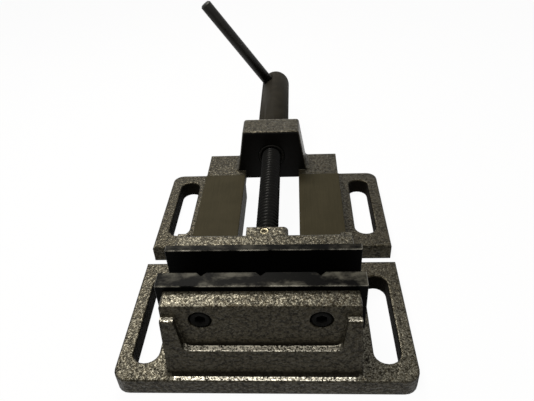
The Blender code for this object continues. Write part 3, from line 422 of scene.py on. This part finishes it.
def shaded_coves(finish):
    """Painted shade in the two coves of the fixed jaw's front, above the ledges."""
    foot = finish.between(finish.x, *FOOT_COVE_SIDES) \
        * finish.between(finish.y, *FOOT_COVE_REACH) \
        * finish.fade(finish.z, *FOOT_COVE_FADE) * (finish.z > FOOT_COVE_BOTTOM)
    recess = finish.between(finish.x, *RECESS_COVE_SIDES) \
        * finish.between(finish.y, *RECESS_COVE_REACH) \
        * finish.fade(finish.z, *RECESS_COVE_FADE) * (finish.z > RECESS_COVE_BOTTOM)
    return (foot + recess) * COVE_SHADE_LEVEL


def front_ledge_glints(finish):
    """Level ledges low on the fixed jaw's front, where painted highlights sit."""
    strip = finish.between(finish.x, *STRIP_SIDES) * (finish.y < STRIP_AHEAD_OF) \
        * (finish.z > STRIP_BOTTOM)
    lowest, highest = LEDGE_HEIGHTS
    return finish.fade(finish.facing_z, 0.4, 0.8) * (finish.y < LEDGES_AHEAD_OF) \
        * (finish.z < highest) * ((finish.z > lowest) + strip)


def lug_ridge_glint(finish):
    """The lug's upper rear edge, where painted highlights sit too."""
    return (finish.z > LUG_RIDGE_BOTTOM) * (finish.y > LUG_RIDGE_START) \
        * finish.fade(finish.facing_z, 0.2, 0.5)


def milled(finish):
    """Colour and relief of a milled face, its fine marks running along Y."""
    marks = finish.noise(finish.stretched(finish.place, MILLED_STRETCH), 3.0, 4.0, 0.65)
    cloud = finish.noise(finish.place, 0.06, 3.0)
    colour = finish.colours(finish.fade(marks * 0.6 + cloud * 0.4, 0.35, 0.65),
                            MILLED_IRON, MILLED_STREAK)
    return colour, marks


def casting_finish(name, bare_face):
    """Hammered paint, with bare milled iron where bare_face says so."""
    finish = Finish(name)
    bare = bare_face(finish)
    paint, paint_roughness, paint_metal, relief = hammered(finish)
    iron, marks = milled(finish)
    colour = finish.colours(bare, paint, iron)
    # Painted shade: the lug's front face round the bush near black, flat and not metallic
    lug_shade = shaded_lug_face(finish)
    colour = finish.colours(lug_shade, colour, LUG_FACE_SHADE)
    roughness = paint_roughness * (1 - bare) + (MILLED_ROUGHNESS + marks * 0.1) * bare
    metal = (paint_metal * (1 - bare) + bare * MILLED_METAL) * (1 - lug_shade)
    height = relief * (1 - bare) * (1 - lug_shade) + marks * bare * 0.06
    normal = finish.soft_normal(CAST_EDGE_RADIUS, height, PAINT_RELIEF, 1.0)
    return finish.done(colour, roughness, metal, normal, PAINT_GLOSS)


def bare_rails_and_foot(finish):
    """The base is milled on its rails, between them and on its underside."""
    lowest, highest = RAIL_TOP_BAND
    rails = finish.between(finish.z, lowest, highest) * (finish.y > RAIL_START) \
        * (finish.facing_z > FACING)
    way = finish.between(finish.x, *WAY_SIDES) * finish.between(finish.y, *WAY_REACH) \
        * (finish.z < highest) * ((finish.facing_x > FACING) + (finish.facing_x < -FACING))
    foot = (finish.z < FOOT_HEIGHT) * (finish.facing_z < -FACING)
    return finish.fade(rails + way + foot, 0.0, 0.5)


def shaded_lug_face(finish):
    """The lug's front face round the bush, painted near black as shade."""
    bush_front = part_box("screw_bush")[0].y / MM
    return finish.between(finish.y, bush_front, bush_front + LUG_FACE_DEPTH) \
        * finish.fade(finish.facing_y, -0.6, -FACING)


def bare_jaw_foot(finish):
    """The moving jaw is bare where it slides, on its tongue and where its plate seats."""
    sliding = (finish.z < JAW_SLIDE_TOP) * (finish.facing_z < -FACING)
    tongue = finish.z < TONGUE_TOP
    seat = finish.facing_y < -FACING
    return finish.fade(sliding + tongue + seat, 0.0, 0.5)


def blackened(name, worn):
    """Black oxide, with clouds of oil on the top, and on the top's chamfers a bare-steel
    colour that is partly wear and partly a painted highlight.
    """
    finish = Finish(name)
    clouds = finish.noise(finish.stretched(finish.place, GROUND_STRETCH), PLATE_CLOUD_SCALE,
                          5.0, 0.62)
    grain = finish.noise(finish.place, 4.0, 3.0)
    patch = finish.fade(clouds, 0.44, 0.66) * finish.fade(finish.facing_z, 0.4, 0.8)
    edge = finish.fade(finish.facing_z, 0.3, 0.6) * finish.fade(finish.facing_z, 0.95, 0.8)
    colour = finish.colours(edge * finish.fade(clouds, 0.38, 0.68),
                            finish.colours(patch, PLATE_BLACK, worn), CHAMFER_WEAR_AND_GLINT)
    normal = finish.soft_normal(GROUND_EDGE_RADIUS, grain + clouds * 0.3, 0.02 * MM, 0.5)
    roughness = PLATE_ROUGHNESS + grain * 0.12 - patch * 0.06
    return finish.done(colour, roughness, edge * 0.5, normal, PLATE_GLOSS)


def turned_steel(name, dark, light, roughness, metallic, ring_scale, gloss):
    """Turned steel: fine rings round the Y axis and a little cloud in the oxide."""
    finish = Finish(name)
    rings = finish.noise(finish.stretched(finish.place, TURNED_STRETCH), ring_scale, 3.0, 0.7)
    cloud = finish.noise(finish.place, 0.12, 4.0)
    grain = finish.noise(finish.place, 3.0, 2.0)
    colour = finish.colours(finish.fade(rings * 0.35 + cloud * 0.65, 0.35, 0.65), dark, light)
    normal = finish.soft_normal(TURNED_EDGE_RADIUS, rings + grain * 0.3, 0.015 * MM, 0.6)
    return finish.done(colour, roughness + grain * 0.1, metallic, normal, gloss)


def fastener_steel(name, dark, light, roughness, metallic, gloss):
    """Steel of the small screws and the keeper. Painted shade darkens the boss's screw socket.
    """
    finish = Finish(name)
    grain = finish.noise(finish.place, 1.6, 4.0, 0.6)
    bottom, top = SOCKET_BAND
    inside = finish.fade(finish.z, top, top - SOCKET_BAND_EDGE) \
        * finish.fade(finish.z, bottom, bottom + SOCKET_BAND_EDGE)
    colour = finish.colours(inside, finish.colours(finish.fade(grain, 0.4, 0.65), dark, light),
                            SOCKET_SHADE)
    normal = finish.soft_normal(SCREW_EDGE_RADIUS, grain, 0.02 * MM, 0.5)
    return finish.done(colour, roughness + grain * 0.12, metallic, normal, gloss)


# Thread tree: one helical sheet, wound round the Y axis

THREAD_INPUTS = ("Start", "Length", "Pitch", "Crest Radius", "Root Radius", "Run Out")


def thread_tree(material):
    """A right-hand vee thread, its crest and root a little flat, that starts at +X."""
    group = bpy.data.node_groups.new("right_hand_thread", "GeometryNodeTree")
    for name in THREAD_INPUTS:
        group.interface.new_socket(name, in_out="INPUT", socket_type="NodeSocketFloat")
    group.interface.new_socket("Geometry", in_out="OUTPUT", socket_type="NodeSocketGeometry")
    tree = Tree(group)
    sizes = tree.node("NodeGroupInput")
    start, length, pitch, crest, root, run_out = (sizes.out(name) for name in THREAD_INPUTS)
    turns = tree.node("ShaderNodeMath", {"operation": "CEIL"}, {0: length / pitch}) + 2.0
    grid = tree.node("GeometryNodeMeshGrid", None, {
        "Size X": 1.0, "Size Y": 1.0, "Vertices X": THREAD_SAMPLES + 1,
        "Vertices Y": turns * THREAD_SEGMENTS + 1.0})
    across, around, _ = tree.parts(tree.node("GeometryNodeInputPosition"))
    profile = across + 0.5
    turn = (around + 0.5) * turns - 1.0
    offset = (turn + profile) * pitch
    middle = tree.node("ShaderNodeMath", {"operation": "ABSOLUTE"}, {0: across})
    flank = tree.clamped("SUBTRACT", FLANK_TOP, middle * FLANK_SLOPE)
    fade_in = tree.clamped("SUBTRACT", offset / run_out, RUN_OUT_DELAY)
    fade_out = tree.clamped("SUBTRACT", (length - offset) / run_out, RUN_OUT_DELAY)
    radius = root + (crest - root) * flank * fade_in * fade_out
    angle = turn * (2 * math.pi)
    sine = tree.node("ShaderNodeMath", {"operation": "SINE"}, {0: angle})
    cosine = tree.node("ShaderNodeMath", {"operation": "COSINE"}, {0: angle})
    along = start + tree.node("ShaderNodeClamp", None,
                              {"Value": offset, "Min": 0.0, "Max": length})
    place = tree.node("ShaderNodeCombineXYZ", None,
                      {0: radius * cosine, 1: along, 2: radius * sine * -1.0})
    wound = tree.node("GeometryNodeSetPosition", None, {"Geometry": grid, "Position": place})
    sealed = tree.node("GeometryNodeMergeByDistance", None,
                       {"Geometry": wound, "Distance": THREAD_WELD})
    solid = tree.node("GeometryNodeRealizeInstances", None, {"Geometry": sealed})
    coloured = tree.node("GeometryNodeSetMaterial", None,
                         {"Geometry": solid, "Material": material})
    tree.node("NodeGroupOutput", None, {"Geometry": coloured})
    return group


def wind_thread(material, start, length, diameter, pitch, root_diameter, run_out):
    """The thread as a plain closed mesh about the Y axis."""
    group = bpy.data.node_groups.get("right_hand_thread") or thread_tree(material)
    holder = bpy.data.objects.new("thread_holder", bpy.data.meshes.new("thread_holder"))
    bpy.context.scene.collection.objects.link(holder)
    modifier = holder.modifiers.new("thread", "NODES")
    modifier.node_group = group
    values = (start, length, pitch, diameter / 2, root_diameter / 2, run_out)
    sockets = {item.name: item.identifier for item in group.interface.items_tree
               if item.in_out == "INPUT"}
    for name, value in zip(THREAD_INPUTS, values):
        modifier[sockets[name]] = value
    graph = bpy.context.evaluated_depsgraph_get()
    mesh = bpy.data.meshes.new_from_object(holder.evaluated_get(graph))
    bpy.data.objects.remove(holder, do_unlink=True)
    return mesh


# Turned and copied pieces

def circle(angle):
    """A plain round rim: the same radius at every angle."""
    return 1.0


def hexagon(angle):
    """Radius of a hexagon over its corner radius, at an angle."""
    within = angle % (math.pi / 3) - math.pi / 6
    return math.cos(math.pi / 6) / math.cos(within)


def knurl(angle):
    """Straight ribs: every second point of the rim lies a little deeper."""
    step = round(angle / (2 * math.pi) * TURNED_SEGMENTS)
    return 1.0 - step % 2 * CAP_KNURL_DEPTH / (CAP_HEAD_DIAMETER / 2)


def revolve(profile):
    """Closed solid about the Y axis from (along, radius, form) rings, ends on the axis."""
    data = bmesh.new()
    rings = []
    for along, radius, form in profile:
        if radius == 0:
            rings.append([data.verts.new((0, along, 0))] * TURNED_SEGMENTS)
            continue
        ring = []
        for i in range(TURNED_SEGMENTS):
            angle = 2 * math.pi * i / TURNED_SEGMENTS
            reach = radius * form(angle)
            ring.append(data.verts.new((reach * math.sin(angle), along,
                                        reach * math.cos(angle))))
        rings.append(ring)
    for lower, upper in zip(rings, rings[1:]):
        for i in range(TURNED_SEGMENTS):
            j = (i + 1) % TURNED_SEGMENTS
            corners = (lower[i], lower[j], upper[j], upper[i])
            data.faces.new(list(dict.fromkeys(corners)))
    return data


def close_and_orient(data):
    """Weld the seam and the ends, fill what is open and turn every face outwards."""
    bmesh.ops.remove_doubles(data, verts=data.verts, dist=PIECE_WELD)
    bmesh.ops.dissolve_degenerate(data, edges=data.edges, dist=PIECE_WELD)
    bmesh.ops.holes_fill(data, edges=data.edges, sides=0)
    bmesh.ops.recalc_face_normals(data, faces=data.faces)


def add_piece(name, data, material, node, slot):
    """Link a finished mesh to its body, in place of the plain solid."""
    mesh = bpy.data.meshes.new(name)
    data.to_mesh(mesh)
    data.free()
    mesh.shade_smooth()
    mesh.set_sharp_from_angle(angle=SHARP_ANGLE)
    mesh.materials.clear()
    mesh.materials.append(material)
    piece = bpy.data.objects.new(name, mesh)
    bpy.context.scene.collection.objects.link(piece)
    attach(piece, body_of(node))
    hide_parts(node)


def body_of(node):
    bodies = frame["record"]["behaviour"]["bodies"]
    return next(body for body, members in bodies.items() if node in members)


def slot_of(node):
    rows = frame["record"]["subparts"]
    return next(row["material_slot"] for row in rows if row["node"] == node)


def threaded_piece(name, node, profile, thread, material, direction, origin):
    """A revolved body and its thread, turned from +Y to a direction and moved in place."""
    data = revolve(profile)
    close_and_orient(data)
    winding = bmesh.new()
    winding.from_mesh(wind_thread(material, **thread))
    close_and_orient(winding)
    turn = Vector((0, 1, 0)).rotation_difference(Vector(direction)).to_matrix().to_4x4()
    both = bpy.data.meshes.new(name)
    winding.to_mesh(both)
    winding.free()
    data.from_mesh(both)
    bpy.data.meshes.remove(both)
    bmesh.ops.transform(data, matrix=Matrix.Translation(origin) @ turn, verts=data.verts)
    add_piece(name, data, material, node, slot_of(node))


def smoothed_copy(name, node, material):
    """The solid's own shape with its loose triangles merged, for round pieces."""
    data = bmesh.new()
    data.from_mesh(frame["nodes"][node].data)
    bmesh.ops.remove_doubles(data, verts=data.verts, dist=SOLID_WELD)
    add_piece(name, data, material, node, slot_of(node))


def thread_sizes(start, length, diameter, pitch):
    """Sizes of a small screw's thread, its root worked out from its pitch."""
    return {"start": start, "length": length, "diameter": diameter, "pitch": pitch,
            "root_diameter": diameter - 2 * THREAD_DEPTH_SHARE * pitch, "run_out": pitch}


def make_lead_screw(material):
    """Nose with its groove, threaded length with a relief at each end, and shank."""
    low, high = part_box("lead_screw")
    hub_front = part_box("spindle_hub")[0].y
    groove = (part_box("spindle_set_screw")[0].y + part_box("spindle_set_screw")[1].y) / 2
    lead_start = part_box("moving_jaw_casting")[0].y + NOSE_SHOULDER
    nose = NOSE_DIAMETER / 2
    neck = NOSE_GROOVE_DIAMETER / 2
    lead = LEAD_DIAMETER / 2
    core = LEAD_ROOT_DIAMETER / 2 - LEAD_CORE_UNDERCUT
    shank = SHANK_DIAMETER / 2
    lead_end = hub_front - HUB_PLAY
    start = lead_start + LEAD_PLAIN_END
    length = (lead_end - LEAD_PLAIN_END - start) // LEAD_PITCH * LEAD_PITCH
    end = start + length
    half_groove = NOSE_GROOVE_WIDTH / 2
    profile = [
        (low.y, 0, circle), (low.y, nose - NOSE_CHAMFER, circle),
        (low.y + NOSE_CHAMFER, nose, circle), (groove - half_groove, nose, circle),
        (groove - half_groove, neck, circle), (groove + half_groove, neck, circle),
        (groove + half_groove, nose, circle), (lead_start, nose, circle),
        (lead_start, lead - NOSE_CHAMFER / 2, circle),
        (lead_start + NOSE_CHAMFER / 2, lead, circle),
        (start - NOSE_CHAMFER, lead, circle), (start - THREAD_RELIEF, core, circle),
        (end + THREAD_RELIEF, core, circle),
        (end + THREAD_RELIEF + NOSE_CHAMFER, lead, circle), (lead_end, lead, circle),
        (lead_end, shank, circle), (high.y, shank, circle), (high.y, 0, circle),
    ]
    thread = {"start": start, "length": length, "diameter": LEAD_DIAMETER,
              "pitch": LEAD_PITCH, "root_diameter": LEAD_ROOT_DIAMETER,
              "run_out": LEAD_PITCH}
    threaded_piece("lead_screw_threaded", "lead_screw", profile, thread, material,
                   (0, 1, 0), AXIS)


def head_with_socket(head_radius, socket, socket_depth, edge, rim=circle):
    """Rings of a round head at negative Y, from the socket's floor to the head's seat."""
    corner = socket / math.sqrt(3)
    return [(socket_depth + SOCKET_DRILL_POINT, 0, circle),
            (socket_depth, corner * SOCKET_FLOOR_SHARE, circle),
            (socket_depth, corner, hexagon), (SOCKET_CHAMFER_DEPTH, corner, hexagon),
            (0, corner + SOCKET_CHAMFER, circle), (0, head_radius - edge, circle),
            (edge, head_radius, rim)]


def shifted(rings, offset):
    """The same rings, moved along the axis."""
    return [(along + offset, radius, form) for along, radius, form in rings]


def make_cap_screw(node, material):
    """Socket head cap screw with a knurled rim; its head faces away from its plate."""
    low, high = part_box(node)
    forward = 1 if node.startswith("fixed") else -1
    seat = low.y + CAP_HEAD_HEIGHT if forward > 0 else high.y - CAP_HEAD_HEIGHT
    length = high.y - low.y - CAP_HEAD_HEIGHT
    root = M6_DIAMETER / 2 - THREAD_DEPTH_SHARE * M6_PITCH
    head = head_with_socket(CAP_HEAD_DIAMETER / 2, CAP_SOCKET, CAP_SOCKET_DEPTH, CAP_EDGE,
                            knurl)
    profile = shifted(head, -CAP_HEAD_HEIGHT)
    profile += [(-CAP_EDGE, CAP_HEAD_DIAMETER / 2, knurl),
                (0, CAP_HEAD_DIAMETER / 2 - CAP_EDGE / 2, circle), (0, root, circle),
                (length - CAP_EDGE, root, circle), (length, root - CAP_EDGE, circle),
                (length, 0, circle)]
    threaded_piece(node + "_knurled", node, profile,
                   thread_sizes(0, length - CAP_EDGE, M6_DIAMETER, M6_PITCH), material,
                   (0, forward, 0), ((low.x + high.x) / 2, seat, (low.z + high.z) / 2))


def make_keeper_screw(node, material):
    """Countersunk screw that points up, its socket underneath."""
    low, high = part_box(node)
    length = high.z - low.z
    radius = KEEPER_HEAD_DIAMETER / 2
    root = M6_DIAMETER / 2 - THREAD_DEPTH_SHARE * M6_PITCH
    neck = radius - M6_DIAMETER / 2
    profile = head_with_socket(radius, KEEPER_SOCKET, KEEPER_SOCKET_DEPTH, KEEPER_EDGE)
    profile += [(neck, M6_DIAMETER / 2, circle), (neck + CAP_EDGE, root, circle),
                (length - CAP_EDGE, root, circle), (length, root - CAP_EDGE, circle),
                (length, 0, circle)]
    threaded_piece(node + "_threaded", node, profile,
                   thread_sizes(neck, length - CAP_EDGE - neck, M6_DIAMETER, M6_PITCH),
                   material, (0, 0, 1), ((low.x + high.x) / 2, (low.y + high.y) / 2, low.z))


def make_set_screw(node, material, downward, point_diameter, point_length):
    """Socket set screw: socket at one end, a turned-down point at the other."""
    low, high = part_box(node)
    length = high.z - low.z
    body = M5_DIAMETER / 2
    root = body - THREAD_DEPTH_SHARE * M5_PITCH
    shoulder = length - point_length
    profile = head_with_socket(body, SET_SOCKET, SET_SOCKET_DEPTH, SET_EDGE)
    profile += [(M5_PITCH, body, circle), (M5_PITCH + SET_EDGE, root, circle),
                (shoulder, root, circle), (shoulder, point_diameter / 2, circle),
                (length, point_diameter / 2, circle), (length, 0, circle)]
    direction = (0, 0, -1) if downward else (0, 0, 1)
    origin = ((low.x + high.x) / 2, (low.y + high.y) / 2, high.z if downward else low.z)
    threaded_piece(node + "_threaded", node, profile,
                   thread_sizes(M5_PITCH, shoulder - M5_PITCH, M5_DIAMETER, M5_PITCH),
                   material, direction, origin)


# Stage

FLOOR_SEEN = (0.90, 0.90, 0.90)
FLOOR_BOUNCE = (0.42, 0.41, 0.39)
FLOOR_GLOW = 0.96
FLOOR_SIZE = 6.0
WORLD_LEVEL = 0.06
WHITE = (1.0, 1.0, 1.0)
WARM_WHITE = (1.0, 0.96, 0.88)

# Lamps: name, place, what it is aimed at, width and depth, watts and colour
LAMPS = (
    ("overhead", (-0.12, -0.10, 0.60), (0.0, 0.0, 0.03), (0.26, 0.22), 2.3, WARM_WHITE),
    ("over_the_jaws", (-0.14, 0.40, 0.52), (0.0, -0.02, 0.05), (0.20, 0.15), 2.5, WARM_WHITE),
    ("from_front", (0.1, -0.9, 0.8), (0.0, 0.07, 0.03), (0.25, 0.15), 0.28, WHITE),
)


def seen_or_mirrored(tree):
    """1 for what the camera sees, straight or in a gloss, and 0 for scattered light."""
    ray = tree.node("ShaderNodeLightPath")
    return tree.clamped("ADD", ray.out("Is Camera Ray") + ray.out("Is Glossy Ray"),
                        ray.out("Is Transmission Ray"))


def make_floor():
    """Level floor under the base. It shows white and still takes the vise's shadow."""
    half = FLOOR_SIZE / 2
    mesh = bpy.data.meshes.new("floor")
    mesh.from_pydata([(-half, -half, 0), (half, -half, 0), (half, half, 0), (-half, half, 0)],
                     [], [(0, 1, 2, 3)])
    floor = bpy.data.objects.new("floor", mesh)
    bpy.context.scene.collection.objects.link(floor)
    material = bpy.data.materials.new("floor")
    material.use_nodes = True
    material.node_tree.nodes.clear()
    tree = Tree(material.node_tree)
    seen = seen_or_mirrored(tree)
    cloth = tree.node("ShaderNodeBsdfDiffuse", None,
                      {"Color": tree.colours(seen, FLOOR_BOUNCE, FLOOR_SEEN)})
    glow = tree.node("ShaderNodeEmission", None, {"Color": rgba(WHITE), "Strength": 1.0})
    both = tree.node("ShaderNodeMixShader", None, {0: seen * FLOOR_GLOW, 1: cloth, 2: glow})
    tree.node("ShaderNodeOutputMaterial", None, {"Surface": both})
    mesh.materials.append(material)


def make_world():
    """A dim room for scattered light, white where it is seen or mirrored."""
    world = bpy.data.worlds.new("studio")
    world.use_nodes = True
    world.node_tree.nodes.clear()
    tree = Tree(world.node_tree)
    room = tree.node("ShaderNodeBackground", None,
                     {"Color": rgba(WHITE), "Strength": WORLD_LEVEL})
    white = tree.node("ShaderNodeBackground", None,
                      {"Color": rgba(WHITE), "Strength": FLOOR_GLOW})
    both = tree.node("ShaderNodeMixShader", None,
                     {0: seen_or_mirrored(tree), 1: room, 2: white})
    tree.node("ShaderNodeOutputWorld", None, {"Surface": both})
    bpy.context.scene.world = world


def make_lamps():
    for name, place, target, size, power, colour in LAMPS:
        light = bpy.data.lights.new(name, "AREA")
        light.shape = "RECTANGLE"
        light.size, light.size_y = size
        light.energy = power
        light.color = colour
        lamp = bpy.data.objects.new(name, light)
        lamp.location = place
        aim = Vector(target) - Vector(place)
        lamp.rotation_euler = aim.to_track_quat("-Z", "Y").to_euler()
        bpy.context.scene.collection.objects.link(lamp)


def make_camera():
    """Camera turned by its yaw, pitch and roll from looking along +Y."""
    forward = Vector((math.sin(CAMERA_YAW) * math.cos(CAMERA_PITCH),
                      math.cos(CAMERA_YAW) * math.cos(CAMERA_PITCH), math.sin(CAMERA_PITCH)))
    level = forward.cross(Vector((0, 0, 1))).normalized()
    above = level.cross(forward)
    right = math.cos(CAMERA_ROLL) * level + math.sin(CAMERA_ROLL) * above
    up = math.cos(CAMERA_ROLL) * above - math.sin(CAMERA_ROLL) * level
    lens = bpy.data.cameras.new("camera")
    lens.lens = CAMERA_LENS_MM
    lens.sensor_width = CAMERA_SENSOR_MM
    lens.sensor_fit = "HORIZONTAL"
    lens.clip_start = CAMERA_NEAR
    camera = bpy.data.objects.new("camera", lens)
    turn = Matrix((right, up, -forward)).transposed().to_4x4()
    camera.matrix_world = Matrix.Translation(CAMERA_PLACE) @ turn
    bpy.context.scene.collection.objects.link(camera)
    bpy.context.scene.camera = camera


def paint(node, material):
    """Give a solid that stays in view its material."""
    solid = frame["nodes"][node]
    for place in solid.material_slots:
        place.material = material


def dress_vise():
    base_paint = casting_finish("hammered_paint_base", bare_rails_and_foot)
    jaw_paint = casting_finish("hammered_paint_jaw", bare_jaw_foot)
    fixed_black = blackened("ground_black_plate", FIXED_PLATE_WORN)
    moving_black = blackened("ground_black_moving_plate", MOVING_PLATE_WORN)
    screw_black = turned_steel("black_lead_screw", SCREW_DARK, SCREW_LIGHT, 0.22, 0.05, 2.2,
                               0.08)
    hub_black = turned_steel("black_hub", HUB_DARK, HUB_LIGHT, 0.6, 0.0, 1.3, 0.06)
    bar_black = turned_steel("black_bar", BAR_DARK, BAR_LIGHT, 0.38, 0.3, 1.3, 0.2)
    bush = turned_steel("dark_bush", BUSH_DARK, BUSH_LIGHT, 0.4, 0.1, 2.2, 0.06)
    fastener = fastener_steel("black_fastener", FASTENER_DARK, FASTENER_LIGHT, 0.42, 0.0, 0.02)
    bright = fastener_steel("bright_fastener", ZINC_DARK, ZINC_LIGHT, 0.28, 0.9, 0.2)
    keeper = fastener_steel("milled_keeper", KEEPER_DARK, KEEPER_LIGHT, 0.42, 0.8, 0.2)

    paint("base_casting", base_paint)
    paint("moving_jaw_casting", jaw_paint)
    paint("fixed_jaw_plate", fixed_black)
    paint("moving_jaw_plate", moving_black)
    paint("keeper_plate", keeper)
    for node, material in (("spindle_hub", hub_black), ("handle_bar", bar_black),
                           ("screw_bush", bush), ("hub_pin", fastener),
                           ("thrust_button", bright)):
        smoothed_copy(node + "_turned", node, material)
    make_lead_screw(screw_black)
    for plate in ("fixed", "moving"):
        for side in ("left", "right"):
            make_cap_screw(f"{plate}_jaw_screw_{side}", fastener)
    make_keeper_screw("keeper_screw_front", fastener)
    make_keeper_screw("keeper_screw_rear", fastener)
    make_set_screw("spindle_set_screw", bright, True, SET_POINT_DIAMETER, SET_POINT_LENGTH)
    make_set_screw("bush_grub_screw", fastener, False, GRUB_POINT_DIAMETER,
                   GRUB_POINT_LENGTH)


make_camera()
dress_vise()
make_floor()
make_world()
make_lamps()
bpy.context.scene.view_settings.view_transform = "Standard"
